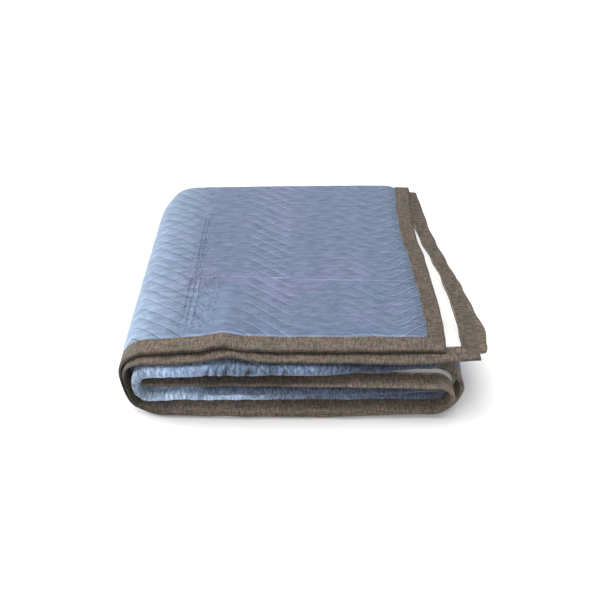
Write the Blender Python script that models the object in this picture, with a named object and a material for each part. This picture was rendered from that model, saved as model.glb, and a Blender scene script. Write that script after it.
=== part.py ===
"""A quilted moving blanket, folded in four from front to back and then in three from right to left.

Every piece is a sheet that follows the same folded path. The long way round a layer is U, from the
bound end that shows at the top right, over the left bend, back along the floor, round the right bend
and into the middle. The other way is V, from the front edge of the top layer, over the back, and
through the four layers down to the front edge of the second one. T is the height above the middle of
the cloth, positive on the blue face. Units are metres, +X is right, +Y is back and +Z is up.
"""
import math

import bpy

# The stack
PITCH = 0.0115            # height that each of the twelve layers takes
SPREAD = 0.002            # extra space between one third and the next
FLOOR_CLEARANCE = PITCH / 2 - 0.0042   # lifts the path so that the lowest face is at height 0
LEFT_CENTRE = -0.230      # centre of the left bend, from the middle of the top
RIGHT_CENTRE = 0.229      # centre of the right bend
LEFT_INNER = 0.038        # half width of the left bend at the inside of the strip of four layers
LEFT_SPREAD = 0.68        # share of the layers' thickness that the bend keeps at its middle
LEFT_HOLLOW = 0.0100      # how far the first and second layers stand off from the others there
LEFT_FULLNESS = 0.68      # below 1, the left bend is fuller than half an ellipse
LEFT_EVENNESS = 1.25      # above 1, evens out the cloth along that fuller bend
RIGHT_HOLLOW = 0.009      # how far the first layer stands off in the right bend
TUCKED_OUTER = -0.250     # where the first and fourth layers of the tucked end stop
TUCKED_INNER = -0.262     # where the second layer stops, and the third one at the back
BACK_CORNER_ROUND = 0.016  # how far the left bend draws in at the back corner
END_DROOP = 0.004         # how far the free end at the right hangs down
DROOP_REACH = 0.075       # how far in from the end it starts to hang
CENTRE = (0.0043, 0.0120)  # middle of the folded blanket, moved to the origin

# Lengths along U, measured on the top layer
TOP_LENGTH = 0.470
LEFT_BEND = 0.210
FLOOR_LENGTH = 0.459
RIGHT_BEND = 0.132
MIDDLE_LENGTH = 0.491
U_LEFT = TOP_LENGTH
U_FLOOR = U_LEFT + LEFT_BEND
U_RIGHT = U_FLOOR + FLOOR_LENGTH
U_MIDDLE = U_RIGHT + RIGHT_BEND
U_TOTAL = U_MIDDLE + MIDDLE_LENGTH

# Lengths along V, measured on the middle of the cloth
LAYER_LENGTH = 0.4925
BACK_BEND = math.pi * 1.5 * PITCH
TIGHT_BEND = math.pi * 0.5 * PITCH
V_BACK = LAYER_LENGTH
V_FOURTH = V_BACK + BACK_BEND
V_FRONT = V_FOURTH + LAYER_LENGTH
V_THIRD = V_FRONT + TIGHT_BEND
V_INNER = V_THIRD + LAYER_LENGTH
V_SECOND = V_INNER + TIGHT_BEND
V_TOTAL = V_SECOND + LAYER_LENGTH

# The cloth and its binding
FACE_TOP = 0.0042         # blue face, above the middle of the cloth
FACE_BOTTOM = -0.0026     # underside of the quilted face
EDGE_TOP = 0.0014         # the same two heights where the binding squeezes the edge
EDGE_BOTTOM = -0.0007
GAP = 0.00055             # space between one piece and the next
BACK_THICKNESS = 0.0011
BINDING_WIDTH = 0.028
BINDING_THICKNESS = 0.0009
EDGE_BAND = 0.030         # width of the squeezed edge
EDGE_SLOPE = 0.035        # where the cloth has its full thickness again
EXACT_BAND = 0.040        # within this of an edge, distances are kept true

# The quilting, in zigzag rows on the outer layer
ZIGZAG_START = 0.075      # first point of the zigzag that lies nearest the front
ZIGZAG_HALF = 0.0888      # from one point to the next
ZIGZAG_RISE = 0.030       # half of the height of the zigzag
ROW_SPACING = 0.025       # from one line of stitches to the next
PUFF = 0.0024             # height of the cloth between two lines
CREASE_DEPTH = 0.0015     # soft trough across the left part of the top
CREASE_AT = 0.430
CREASE_REACH = 0.020

# Where the front edges, the front fold and the back bend lie, by the length U
FRONT = [
    # u, edge of layer 1, edge of layer 2, front fold, centre of the back bend
    {"u": 0.000, "first": -0.222, "second": -0.230, "fold": -0.197, "back": 0.2620},
    {"u": 0.040, "first": -0.224, "second": -0.236, "fold": -0.210, "back": 0.2620},
    {"u": 0.090, "first": -0.225, "second": -0.242, "fold": -0.232, "back": 0.2610},
    {"u": 0.160, "first": -0.225, "second": -0.241, "fold": -0.240, "back": 0.2600},
    {"u": 0.240, "first": -0.226, "second": -0.239, "fold": -0.246, "back": 0.2580},
    {"u": 0.330, "first": -0.225, "second": -0.238, "fold": -0.248, "back": 0.2570},
    {"u": 0.368, "first": -0.221, "second": -0.233, "fold": -0.247, "back": 0.2560},
    {"u": 0.410, "first": -0.225, "second": -0.239, "fold": -0.248, "back": 0.2550},
    {"u": 0.470, "first": -0.229, "second": -0.244, "fold": -0.250, "back": 0.2530},
    {"u": 0.575, "first": -0.229, "second": -0.232, "fold": -0.250, "back": 0.2500},
    {"u": 0.630, "first": -0.247, "second": -0.250, "fold": -0.247, "back": 0.2510},
    {"u": 0.680, "first": -0.255, "second": -0.258, "fold": -0.241, "back": 0.2520},
    {"u": 0.910, "first": -0.259, "second": -0.260, "fold": -0.240, "back": 0.2560},
    {"u": 1.139, "first": -0.253, "second": -0.258, "fold": -0.238, "back": 0.2560},
    {"u": 1.205, "first": -0.235, "second": -0.256, "fold": -0.238, "back": 0.2550},
    {"u": 1.271, "first": -0.217, "second": -0.253, "fold": -0.242, "back": 0.2560},
    {"u": 1.380, "first": -0.213, "second": -0.252, "fold": -0.248, "back": 0.2560},
    {"u": 1.480, "first": -0.224, "second": -0.250, "fold": -0.250, "back": 0.2560},
    {"u": 1.655, "first": -0.229, "second": -0.248, "fold": -0.250, "back": 0.2550},
    {"u": 1.725, "first": -0.230, "second": -0.247, "fold": -0.216, "back": 0.2540},
    {"u": 1.762, "first": -0.230, "second": -0.247, "fold": -0.216, "back": 0.2540},
]

# Where the free end at the right stops in each layer, by the depth Y
RIGHT_END = [
    {"y": -0.260, "first": 0.236, "second": 0.290, "lower": 0.302},
    {"y": -0.225, "first": 0.238, "second": 0.294, "lower": 0.309},
    {"y": -0.190, "first": 0.241, "second": 0.298, "lower": 0.316},
    {"y": -0.155, "first": 0.243, "second": 0.300, "lower": 0.321},
    {"y": -0.100, "first": 0.242, "second": 0.298, "lower": 0.312},
    {"y": -0.040, "first": 0.241, "second": 0.293, "lower": 0.303},
    {"y": 0.020, "first": 0.238, "second": 0.283, "lower": 0.287},
    {"y": 0.080, "first": 0.231, "second": 0.272, "lower": 0.272},
    {"y": 0.150, "first": 0.231, "second": 0.264, "lower": 0.264},
    {"y": 0.280, "first": 0.240, "second": 0.259, "lower": 0.252},
]

# The ridge where the front of the first and second layers stands up over a bunched fold
RIDGE_HEIGHT = 0.006
RIDGE_AT = 0.368
RIDGE_REACH = 0.035

# Columns and rows of the meshes
TOP_COLUMNS = (0.0, EDGE_BAND, EDGE_SLOPE, 0.075, 0.120, 0.1638, 0.208, 0.2525, 0.3100, 0.3413,
               RIDGE_AT, 0.390, CREASE_AT - CREASE_REACH, CREASE_AT, CREASE_AT + CREASE_REACH)
LEFT_STEPS = 8
FLOOR_STEPS = 3
RIGHT_STEPS = 6
MIDDLE_STEPS = 3
BACK_STEPS = 6
TIGHT_STEPS = 4
LAYER_STEPS = 5
ROW_SQUEEZE = 0.0008      # smallest step where zigzag rows run into a straight edge

COLOURS = {
    "face_panel": (0.20, 0.30, 0.55, 1.0),
    "back_panel": (0.80, 0.78, 0.74, 1.0),
    "binding": (0.14, 0.11, 0.08, 1.0),
}


def ease(low, high, value):
    """Smooth step from 0 at low to 1 at high."""
    part = min(1.0, max(0.0, (value - low) / (high - low)))
    return part * part * (3.0 - 2.0 * part)


def read_table(rows, key, column, value):
    """Smooth value of a column between the rows of a table."""
    if value <= rows[0][key]:
        return rows[0][column]
    for low, high in zip(rows, rows[1:]):
        if value <= high[key]:
            part = ease(low[key], high[key], value)
            return low[column] + (high[column] - low[column]) * part
    return rows[-1][column]


def stretch(distance, near, far, length):
    """Place at a distance along a run: true close to its start, evenly spread over the rest."""
    way = math.copysign(1.0, far - near)
    if distance <= EXACT_BAND:
        return near + way * distance
    start = near + way * EXACT_BAND
    return start + (far - start) * (distance - EXACT_BAND) / (length - EXACT_BAND)


def fold_in_four(u, v, t):
    """Depth y, and height q in the strip of four layers, at lengths u and v and offset t."""
    first = read_table(FRONT, "u", "first", u)
    second = read_table(FRONT, "u", "second", u)
    back = read_table(FRONT, "u", "back", u)
    fold = read_table(FRONT, "u", "fold", u) + 0.5 * PITCH
    if v <= V_BACK:
        return stretch(v, first, back, LAYER_LENGTH), 3.5 * PITCH + t
    if v <= V_FOURTH:
        turn = math.pi * (v - V_BACK) / BACK_BEND
        radius = 1.5 * PITCH + t
        return back + radius * math.sin(turn), 2 * PITCH + radius * math.cos(turn)
    if v <= V_FRONT:
        return back + (fold - back) * (v - V_FOURTH) / LAYER_LENGTH, 0.5 * PITCH - t
    if v <= V_THIRD:
        turn = math.pi * (v - V_FRONT) / TIGHT_BEND
        radius = 0.5 * PITCH + t
        return fold - radius * math.sin(turn), PITCH - radius * math.cos(turn)
    if v <= V_INNER:
        return fold + (back - fold) * (v - V_THIRD) / LAYER_LENGTH, 1.5 * PITCH + t
    if v <= V_SECOND:
        turn = math.pi * (v - V_INNER) / TIGHT_BEND
        radius = 0.5 * PITCH - t
        return back + radius * math.sin(turn), 2 * PITCH - radius * math.cos(turn)
    return stretch(V_TOTAL - v, second, back, LAYER_LENGTH), 2.5 * PITCH - t


def right_end(v, y):
    """Where the free end at the right stops, at length v and depth y."""
    first = read_table(RIGHT_END, "y", "first", y)
    second = read_table(RIGHT_END, "y", "second", y)
    lower = read_table(RIGHT_END, "y", "lower", y)
    if v <= V_FOURTH:
        return first + (lower - first) * ease(V_BACK, V_FOURTH, v)
    return lower + (second - lower) * ease(V_INNER, V_SECOND, v)


def inner_end(v):
    """Where the tucked end stops at length v."""
    return TUCKED_OUTER + (TUCKED_INNER - TUCKED_OUTER) * ease(V_THIRD, V_INNER, v)


def left_radius(q):
    """Half width of the left bend at height q in the strip."""
    return LEFT_INNER + LEFT_SPREAD * q + LEFT_HOLLOW * ease(1.96 * PITCH, 2.13 * PITCH, q)


def left_turn(u):
    """Angle round the left bend at length u, from 0 at its top to half a turn at its bottom."""
    part = (u - U_LEFT) / LEFT_BEND
    if part <= 0.5:
        return math.pi / 2 * (2 * part) ** LEFT_EVENNESS
    return math.pi - math.pi / 2 * (2 * (1 - part)) ** LEFT_EVENNESS


def right_radius(q):
    """Half width of the right bend at height q in the strip."""
    return SPREAD / 2 + q + RIGHT_HOLLOW * ease(2.88 * PITCH, 3.12 * PITCH, q)


def fold_in_three(u, y, q, end, tucked):
    """Place x and height z of a point of a layer that stops at end and at tucked."""
    drawn_in = BACK_CORNER_ROUND * ease(0.195, 0.285, y)
    left = LEFT_CENTRE + drawn_in
    if u <= U_LEFT:
        droop = END_DROOP * ease(DROOP_REACH, 0.0, u)
        return stretch(u, end, left, TOP_LENGTH), 8 * PITCH + 2 * SPREAD + q - droop
    if u <= U_FLOOR:
        turn = left_turn(min(u, U_FLOOR))
        height = 2 * PITCH + SPREAD + q
        reach = max(0.0, math.sin(turn)) ** LEFT_FULLNESS
        return left - left_radius(q) * reach, 6 * PITCH + SPREAD + height * math.cos(turn)
    if u <= U_RIGHT:
        return left + (RIGHT_CENTRE - left) * (u - U_FLOOR) / FLOOR_LENGTH, 4 * PITCH - q
    if u <= U_MIDDLE:
        turn = math.pi * (u - U_RIGHT) / RIGHT_BEND
        middle = 4 * PITCH + SPREAD / 2
        return RIGHT_CENTRE + right_radius(q) * math.sin(turn), middle - (SPREAD / 2 + q) * math.cos(turn)
    start = tucked + drawn_in
    return stretch(U_TOTAL - u, start, RIGHT_CENTRE, MIDDLE_LENGTH), 4 * PITCH + SPREAD + q


def ridge(u, v):
    """How far the front of the first and second layers stands up at lengths u and v."""
    reach = EDGE_SLOPE + (V_BACK - EDGE_SLOPE) / LAYER_STEPS
    from_edge = min(v, V_TOTAL - v)
    along = max(0.0, 1.0 - abs(u - RIDGE_AT) / (2 * RIDGE_REACH))
    return RIDGE_HEIGHT * along * min(1.0, max(0.0, (reach - from_edge) / (reach - EDGE_SLOPE)))


def place(u, v, t):
    """Point of the folded blanket at lengths u and v and offset t."""
    middle_y = fold_in_four(u, v, 0.0)[0]
    y, q = fold_in_four(u, v, t)
    x, z = fold_in_three(u, y, q, right_end(v, middle_y), inner_end(v))
    return (x - CENTRE[0], y - CENTRE[1], z + ridge(u, v) - FLOOR_CLEARANCE)


def edge_distance(u, v):
    """Distance to the nearest bound edge."""
    return min(u, U_TOTAL - u, v, V_TOTAL - v)


def level(u, v, edge, full):
    """Height of a surface that is squeezed under the binding and full elsewhere."""
    return edge + (full - edge) * ease(EDGE_BAND, EDGE_SLOPE, edge_distance(u, v))


def zigzag(u):
    """How far the quilting is moved towards the back at length u."""
    part = ((u - ZIGZAG_START) / ZIGZAG_HALF) % 2.0
    return ZIGZAG_RISE * (1.0 - 2.0 * abs(1.0 - part))


def steps(start, stop, count):
    """Places from start up to, but without, stop."""
    return [start + (stop - start) * k / count for k in range(count)]


def columns():
    """Places along U of every column."""
    middle_end = U_TOTAL - EDGE_SLOPE
    return (list(TOP_COLUMNS)
            + steps(U_LEFT, U_FLOOR, LEFT_STEPS)
            + steps(U_FLOOR, U_RIGHT, FLOOR_STEPS)
            + steps(U_RIGHT, U_MIDDLE, RIGHT_STEPS)
            + steps(U_MIDDLE, middle_end, MIDDLE_STEPS)
            + [middle_end, U_TOTAL - EDGE_BAND, U_TOTAL])


def rows_behind_first_layer():
    """Places along V from the back bend to the front edge of the second layer."""
    return (steps(V_BACK, V_FOURTH, BACK_STEPS)
            + steps(V_FOURTH, V_FRONT, LAYER_STEPS)
            + steps(V_FRONT, V_THIRD, TIGHT_STEPS)
            + steps(V_THIRD, V_INNER, LAYER_STEPS)
            + steps(V_INNER, V_SECOND, TIGHT_STEPS)
            + steps(V_SECOND, V_TOTAL - EDGE_SLOPE, LAYER_STEPS)
            + [V_TOTAL - EDGE_SLOPE, V_TOTAL - EDGE_BAND, V_TOTAL])


def plain_rows():
    """Places along V of the rows of a smooth surface."""
    return ([0.0, EDGE_BAND]
            + steps(EDGE_SLOPE, V_BACK, LAYER_STEPS)
            + rows_behind_first_layer())


def quilted_lines(u):
    """Places along V of the quilted rows of the outer layer at length u, with each row's puff."""
    low = EDGE_SLOPE
    high = V_BACK - ROW_SQUEEZE
    count = int((high - low + 2 * ZIGZAG_RISE) / (ROW_SPACING / 2)) + 1
    lines = []
    for k in range(count + 1):
        v = low - ZIGZAG_RISE + k * ROW_SPACING / 2 + zigzag(u)
        v = max(low + k * ROW_SQUEEZE, min(high - (count - k) * ROW_SQUEEZE, v))
        inside = ease(low, low + 0.006, v) * ease(high, high - 0.006, v)
        lines.append((v, inside * (k % 2)))
    return lines


def puff_height(u):
    """Height of the quilting at length u: none under the binding and where the blanket rests."""
    start = ease(EDGE_SLOPE, EDGE_SLOPE + 0.004, min(u, U_TOTAL - u))
    rests = ease(U_FLOOR - LEFT_BEND / 4, U_FLOOR, u) * ease(U_RIGHT + RIGHT_BEND / 4, U_RIGHT, u)
    return PUFF * start * (1.0 - rests)


def chord_point(u, v, t):
    """Point on the straight line between the two plain rows on each side of v."""
    rows = plain_rows()
    high = next(k for k in range(1, len(rows)) if v <= rows[k])
    part = (v - rows[high - 1]) / (rows[high] - rows[high - 1])
    low_point = place(u, rows[high - 1], t)
    high_point = place(u, rows[high], t)
    return tuple(a + (b - a) * part for a, b in zip(low_point, high_point))


def quilted_rows(u):
    """Places along V of every row of the blue face at length u."""
    return [0.0, EDGE_BAND] + [v for v, puff in quilted_lines(u)] + rows_behind_first_layer()


def face_column(u):
    """Points of the quilted blue face at length u."""
    crease = CREASE_DEPTH * (1.0 - min(1.0, abs(u - CREASE_AT) / CREASE_REACH))
    found = [place(u, 0.0, EDGE_TOP), place(u, EDGE_BAND, EDGE_TOP)]
    if min(u, U_TOTAL - u) <= EDGE_SLOPE:
        # beside and under the side binding the fine rows follow the same straight lines as the strip
        found.extend(chord_point(u, v, level(u, v, EDGE_TOP, FACE_TOP)) for v, puff in quilted_lines(u))
        return found + [place(u, v, level(u, v, EDGE_TOP, FACE_TOP)) for v in rows_behind_first_layer()]
    for v, puff in quilted_lines(u):
        trough = crease * ease(EDGE_SLOPE, 2 * EDGE_SLOPE, v) * ease(V_BACK, V_BACK - EDGE_SLOPE, v)
        found.append(place(u, v, level(u, v, EDGE_TOP, FACE_TOP) + puff * puff_height(u) - trough))
    for v in rows_behind_first_layer():
        found.append(place(u, v, level(u, v, EDGE_TOP, FACE_TOP)))
    return found


def smooth_column(u, edge, full):
    """Points of a smooth surface at length u."""
    return [place(u, v, level(u, v, edge, full)) for v in plain_rows()]


def skin(points, faces, grid, outward):
    """Adds the triangles of one surface, all cut along the same diagonal; returns its point numbers."""
    numbers = []
    for line in grid:
        numbers.append(list(range(len(points), len(points) + len(line))))
        points.extend(line)
    for near, far in zip(numbers, numbers[1:]):
        for k in range(len(near) - 1):
            for face in ((near[k], far[k], far[k + 1]), (near[k], far[k + 1], near[k + 1])):
                faces.append(face if outward else face[::-1])
    return numbers


def wall(points, faces, one, two, marks_one, marks_two, outward):
    """Adds a narrow wall between two lines whose points lie at the marks along U or V."""
    i = 0
    j = 0
    while i < len(one) - 1 or j < len(two) - 1:
        step_one = j == len(two) - 1 or (i < len(one) - 1 and marks_one[i + 1] <= marks_two[j + 1])
        if step_one:
            face = (one[i], one[i + 1], two[j])
            i += 1
        else:
            face = (one[i], two[j + 1], two[j])
            j += 1
        faces.append(face if outward else face[::-1])


def sheet(name, upper, lower, upper_marks):
    """One closed sheet between an upper and a lower grid of points with the same columns."""
    points = []
    faces = []
    top = skin(points, faces, upper, outward=False)
    base = skin(points, faces, lower, outward=True)
    across = columns()
    wall(points, faces, [line[0] for line in top], [line[0] for line in base], across, across, True)
    wall(points, faces, [line[-1] for line in top], [line[-1] for line in base], across, across, False)
    wall(points, faces, top[0], base[0], upper_marks(0.0), plain_rows(), False)
    wall(points, faces, top[-1], base[-1], upper_marks(U_TOTAL), plain_rows(), True)
    return add_object(name, points, faces)


def binding_section():
    """Section of the binding round an edge: distance in from the edge, and height."""
    thick = BINDING_THICKNESS
    top = EDGE_TOP + GAP
    base = EDGE_BOTTOM - GAP - BACK_THICKNESS - GAP
    nose = -GAP - thick
    return [(BINDING_WIDTH, top), (BINDING_WIDTH, top + thick), (nose + thick, top + thick),
            (nose, top - thick / 2), (nose, base + thick / 2), (nose + thick, base - thick),
            (BINDING_WIDTH, base - thick), (BINDING_WIDTH, base), (-GAP, base), (-GAP, top)]


def strip(name, places, turned):
    """A binding strip through a row of places; each gives the point at a distance in and a height."""
    points = []
    faces = []
    section = binding_section()
    size = len(section)
    for spot in places:
        points.extend(spot(distance, height) for distance, height in section)
    for k in range(len(places) - 1):
        for n in range(size):
            a = k * size + n
            b = k * size + (n + 1) % size
            for face in ((a, b, b + size), (a, b + size, a + size)):
                faces.append(face[::-1] if turned else face)
    # both ends are closed with the same cap, in parts because the section bends round the edge
    parts = ((0, 1, 2, 9), (9, 2, 3), (9, 3, 4, 8), (8, 4, 5), (8, 5, 6, 7))
    last = (len(places) - 1) * size
    for part in parts:
        faces.append(part if turned else part[::-1])
        end = tuple(last + n for n in part)
        faces.append(end[::-1] if turned else end)
    return add_object(name, points, faces)


def mitre(distance):
    """Where a strip stops at a corner, at a distance in from its own edge."""
    return distance + GAP


def front_strip(name, second):
    """Binding of the front edge of the first or the second layer."""
    def spot(u, distance, height):
        v = V_TOTAL - distance if second else distance
        return place(u, v, height)

    places = [lambda d, h: spot(mitre(d), d, h)]
    for u in columns()[1:-1]:
        places.append(lambda d, h, u=u: spot(u, d, h))
    places.append(lambda d, h: spot(U_TOTAL - mitre(d), d, h))
    return strip(name, places, turned=not second)


def side_strip(name, inner):
    """Binding of the free end at the right, or of the end tucked in the middle."""
    def spot(v, distance, height):
        u = U_TOTAL - distance if inner else distance
        return place(u, v, height)

    places = [lambda d, h: spot(mitre(d), d, h)]
    for v in plain_rows()[1:-1]:
        places.append(lambda d, h, v=v: spot(v, d, h))
    places.append(lambda d, h: spot(V_TOTAL - mitre(d), d, h))
    return strip(name, places, turned=inner)


def add_material(name):
    """Plain cloth material in the colour of the piece."""
    kind = name if name in COLOURS else "binding"
    material = bpy.data.materials.new(name)
    material.use_nodes = True
    shader = material.node_tree.nodes["Principled BSDF"]
    shader.inputs["Base Color"].default_value = COLOURS[kind]
    shader.inputs["Roughness"].default_value = 0.85
    shader.inputs["Metallic"].default_value = 0.0
    return material


def add_object(name, points, faces):
    """Adds one mesh object with its own material."""
    mesh = bpy.data.meshes.new(name)
    mesh.from_pydata(points, [], faces)
    mesh.update()
    mesh.materials.append(add_material(name))
    thing = bpy.data.objects.new(name, mesh)
    bpy.context.scene.collection.objects.link(thing)
    return thing


def face_panel():
    """Blue face with its filling, quilted in zigzag rows on the outer layer."""
    upper = [face_column(u) for u in columns()]
    lower = [smooth_column(u, EDGE_BOTTOM, FACE_BOTTOM) for u in columns()]
    return sheet("face_panel", upper, lower, quilted_rows)


def back_panel():
    """White back cloth, just under the quilted face."""
    edge = EDGE_BOTTOM - GAP
    full = FACE_BOTTOM - GAP
    upper = [smooth_column(u, edge, full) for u in columns()]
    lower = [smooth_column(u, edge - BACK_THICKNESS, full - BACK_THICKNESS) for u in columns()]
    return sheet("back_panel", upper, lower, lambda u: plain_rows())


def main():
    for thing in list(bpy.data.objects):
        bpy.data.objects.remove(thing, do_unlink=True)
    face_panel()
    back_panel()
    front_strip("binding_front_upper", second=False)
    front_strip("binding_front_lower", second=True)
    side_strip("binding_side_outer", inner=False)
    side_strip("binding_side_inner", inner=True)


main()
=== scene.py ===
"""A quilted moving blanket, folded in four from front to back and then in three from right to left.

Every sheet follows one folded path. U runs from the bound end that shows at the top right, over the
left bend, along the floor, round the right bend and into the middle. V runs from the front edge of
the top layer, over the back, and through the four layers to the front edge of the second one. T is
the height above the middle of the cloth, positive on the blue face. All lengths are in metres.
"""
import math

import bpy
import numpy as np
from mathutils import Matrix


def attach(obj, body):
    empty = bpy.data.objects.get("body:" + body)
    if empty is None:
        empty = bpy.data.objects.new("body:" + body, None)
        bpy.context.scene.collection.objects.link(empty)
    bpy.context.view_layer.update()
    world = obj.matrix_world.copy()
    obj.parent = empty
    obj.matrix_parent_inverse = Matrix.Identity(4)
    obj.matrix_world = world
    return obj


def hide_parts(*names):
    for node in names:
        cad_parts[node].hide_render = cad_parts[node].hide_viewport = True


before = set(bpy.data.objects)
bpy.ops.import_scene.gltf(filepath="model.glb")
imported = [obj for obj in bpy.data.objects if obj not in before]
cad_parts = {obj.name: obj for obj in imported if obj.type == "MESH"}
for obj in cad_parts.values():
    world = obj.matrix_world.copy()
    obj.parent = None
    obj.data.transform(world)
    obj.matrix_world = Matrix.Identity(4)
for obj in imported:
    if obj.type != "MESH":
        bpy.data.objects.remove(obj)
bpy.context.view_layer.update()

bl_info = {
    "name": "Folded Moving Blanket",
    "version": (1, 0, 0),
    "blender": (4, 5, 0),
    "location": "3D Viewport > Sidebar > Blanket",
    "description": "Makes a quilted moving blanket, folded and bound, with its stitching and studio",
    "category": "Add Mesh",
}

# The stack, as in the solid model
PITCH = 0.0115            # from one layer to the next
SPREAD = 0.002            # more room where one strip of four layers lies on another
FLOOR_CLEARANCE = PITCH / 2 - 0.0042  # lowers the stack until its blue underside is on the floor
LEFT_CENTRE = -0.230      # where the left bend starts
RIGHT_CENTRE = 0.229      # where the right bend starts
LEFT_INNER = 0.038        # reach of the left bend at the strip's inner side
LEFT_SPREAD = 0.68        # share of a layer's height in the strip that adds to that reach
LEFT_HOLLOW = 0.0100      # more reach of the two outer layers
LEFT_HOLLOW_FROM = 1.96 * PITCH
LEFT_HOLLOW_TO = 2.13 * PITCH
LEFT_FULLNESS = 0.68      # below 1, the left bend is fuller than a round one
LEFT_EVENNESS = 1.25      # above 1, it turns less at its top and bottom
RIGHT_HOLLOW = 0.009      # more reach of the outermost layer at the right bend
RIGHT_HOLLOW_FROM = 2.88 * PITCH
RIGHT_HOLLOW_TO = 3.12 * PITCH
TUCKED_OUTER = -0.250     # where the tucked end stops in the two outer layers
TUCKED_INNER = -0.262     # and in the two inner ones
BACK_CORNER_ROUND = 0.016
CORNER_FROM = 0.195       # depth at which the back corner starts to round
CORNER_TO = 0.285
END_DROOP = 0.004         # how far the free end at the right sinks
DROOP_REACH = 0.075
CENTRE = (0.0043, 0.0120)

# Lengths along U
TOP_LENGTH = 0.470
LEFT_BEND = 0.210
FLOOR_LENGTH = 0.459
RIGHT_BEND = 0.132
MIDDLE_LENGTH = 0.491
U_LEFT = TOP_LENGTH
U_FLOOR = U_LEFT + LEFT_BEND
U_RIGHT = U_FLOOR + FLOOR_LENGTH
U_MIDDLE = U_RIGHT + RIGHT_BEND
U_TOTAL = U_MIDDLE + MIDDLE_LENGTH

# Lengths along V
LAYER_LENGTH = 0.4925
BACK_BEND = math.pi * 1.5 * PITCH
TIGHT_BEND = math.pi * 0.5 * PITCH
V_BACK = LAYER_LENGTH
V_FOURTH = V_BACK + BACK_BEND
V_FRONT = V_FOURTH + LAYER_LENGTH
V_THIRD = V_FRONT + TIGHT_BEND
V_INNER = V_THIRD + LAYER_LENGTH
V_SECOND = V_INNER + TIGHT_BEND
V_TOTAL = V_SECOND + LAYER_LENGTH

# The cloth and its binding: heights of the face and of the filling's underside from the middle, full and
# where they are squeezed under the binding, and the gap between two cloths
FACE_TOP = 0.0042
FACE_BOTTOM = -0.0026
EDGE_TOP = 0.0014
EDGE_BOTTOM = -0.0007
GAP = 0.00055
BACK_THICKNESS = 0.0011
BINDING_WIDTH = 0.028
BINDING_THICKNESS = 0.0009
BINDING_GATHER = 0.00019  # height of its small gathers
BINDING_MIDDLE = 0.032    # half its flat width, which lies at the edge of the blanket
RIB_PITCH = 0.0017        # from one rib across it to the next
CORD_PITCH = 0.0021       # and from one cord along it to the next
BINDING_WAVER = 0.0006    # how far its hem wanders
HEM_AT = 0.0267           # distance of the rolled hem from the edge
SEAM_AT = 0.0243          # and of the seam's stitches
MITRE_GAP = 0.0001        # between two strips at a corner
CORNER_STEPS = 9          # steps of a strip across its corner
EDGE_BAND = 0.030         # width in which the cloth is squeezed under the binding
BAND_MIDDLE = 0.017
EDGE_SLOPE = 0.035        # where the cloth is at its full thickness again
RELIEF_FULL = EDGE_BAND + 0.006
FACE_FULL = EDGE_BAND + 0.014
EXACT_BAND = 0.040        # width from the edge in which lengths are true
NOSE_ROOT = 0.0010        # where the rounded edge of the binding starts
NOSE_REACH = 0.0030       # how far it stands out
NOSE_STEPS = 8
THINNEST = 0.0003         # smallest radius inside a tight bend

# The quilting
ZIGZAG_START = 0.075
ZIGZAG_HALF = 0.0888
ZIGZAG_RISE = 0.030
ZIGZAG_SHARP = 0.965      # 1 would make the points of the zigzag sharp
QUILT_START = 0.007       # first line of stitches, from the front edge
QUILT_PLACES = 168        # places from front to back across the outer layer
PILLOW_ROUNDNESS = 2.4    # higher for cloth that is flatter between two lines of stitches
STITCH_WANDER = 0.0016    # how far the lines of stitches wander

# Sizes of the unevenness
EDGE_WAVER = 0.0012       # how far the front edges wander
CLOTH_WAVE = 0.0005       # soft waves of whole layers
CREASE_STRENGTH = 1.7     # times the depths in the table of creases
CREASE_WIDTH = 1.2        # times the half widths in that table
CREASE_FULL = 0.0014      # depth at which a crease has its darkest painted shade
INNER_PUFF = 0.45         # share of the quilting's height where two layers press together
LATTICE = 97              # random heights along each side of the square that a rumple repeats
FOLD_REACH = 0.045        # how far the gathers of the front fold reach to both sides of it
FOLD_FULL = 0.006
SHADE_REACH = 0.060       # how far its painted shade reaches
SHADE_FULL = 0.028
FOLD_MIDDLE = (V_FRONT + V_THIRD) / 2
WEDGE_REACH = 0.115       # how far in from the right the white side can be seen
TROUGH_START = 0.400      # the trough at the left of the top, along U
TROUGH_END = 0.448


def table(columns, rows):
    """Rows of numbers with the names of their columns."""
    return [dict(zip(columns.split(), row)) for row in rows]


# Where the front edges, the front fold and the back bend lie, by the length U
FRONT = table("u first second fold back", [
    # u, edge of layer 1, edge of layer 2, front fold, centre of the back bend
    (0.000, -0.222, -0.230, -0.197, 0.2620),
    (0.040, -0.224, -0.236, -0.210, 0.2620),
    (0.090, -0.225, -0.242, -0.232, 0.2610),
    (0.160, -0.225, -0.241, -0.240, 0.2600),
    (0.240, -0.226, -0.239, -0.246, 0.2580),
    (0.330, -0.225, -0.238, -0.248, 0.2570),
    (0.368, -0.221, -0.233, -0.247, 0.2560),
    (0.410, -0.225, -0.239, -0.248, 0.2550),
    (0.470, -0.229, -0.244, -0.250, 0.2530),
    (0.575, -0.229, -0.232, -0.250, 0.2500),
    (0.630, -0.247, -0.250, -0.247, 0.2510),
    (0.680, -0.255, -0.258, -0.241, 0.2520),
    (0.910, -0.259, -0.260, -0.240, 0.2560),
    (1.139, -0.253, -0.258, -0.238, 0.2560),
    (1.205, -0.235, -0.256, -0.238, 0.2550),
    (1.271, -0.217, -0.253, -0.242, 0.2560),
    (1.380, -0.213, -0.252, -0.248, 0.2560),
    (1.480, -0.224, -0.250, -0.250, 0.2560),
    (1.655, -0.229, -0.248, -0.250, 0.2550),
    (1.725, -0.230, -0.247, -0.216, 0.2540),
    (1.762, -0.230, -0.247, -0.216, 0.2540),
])

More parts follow.
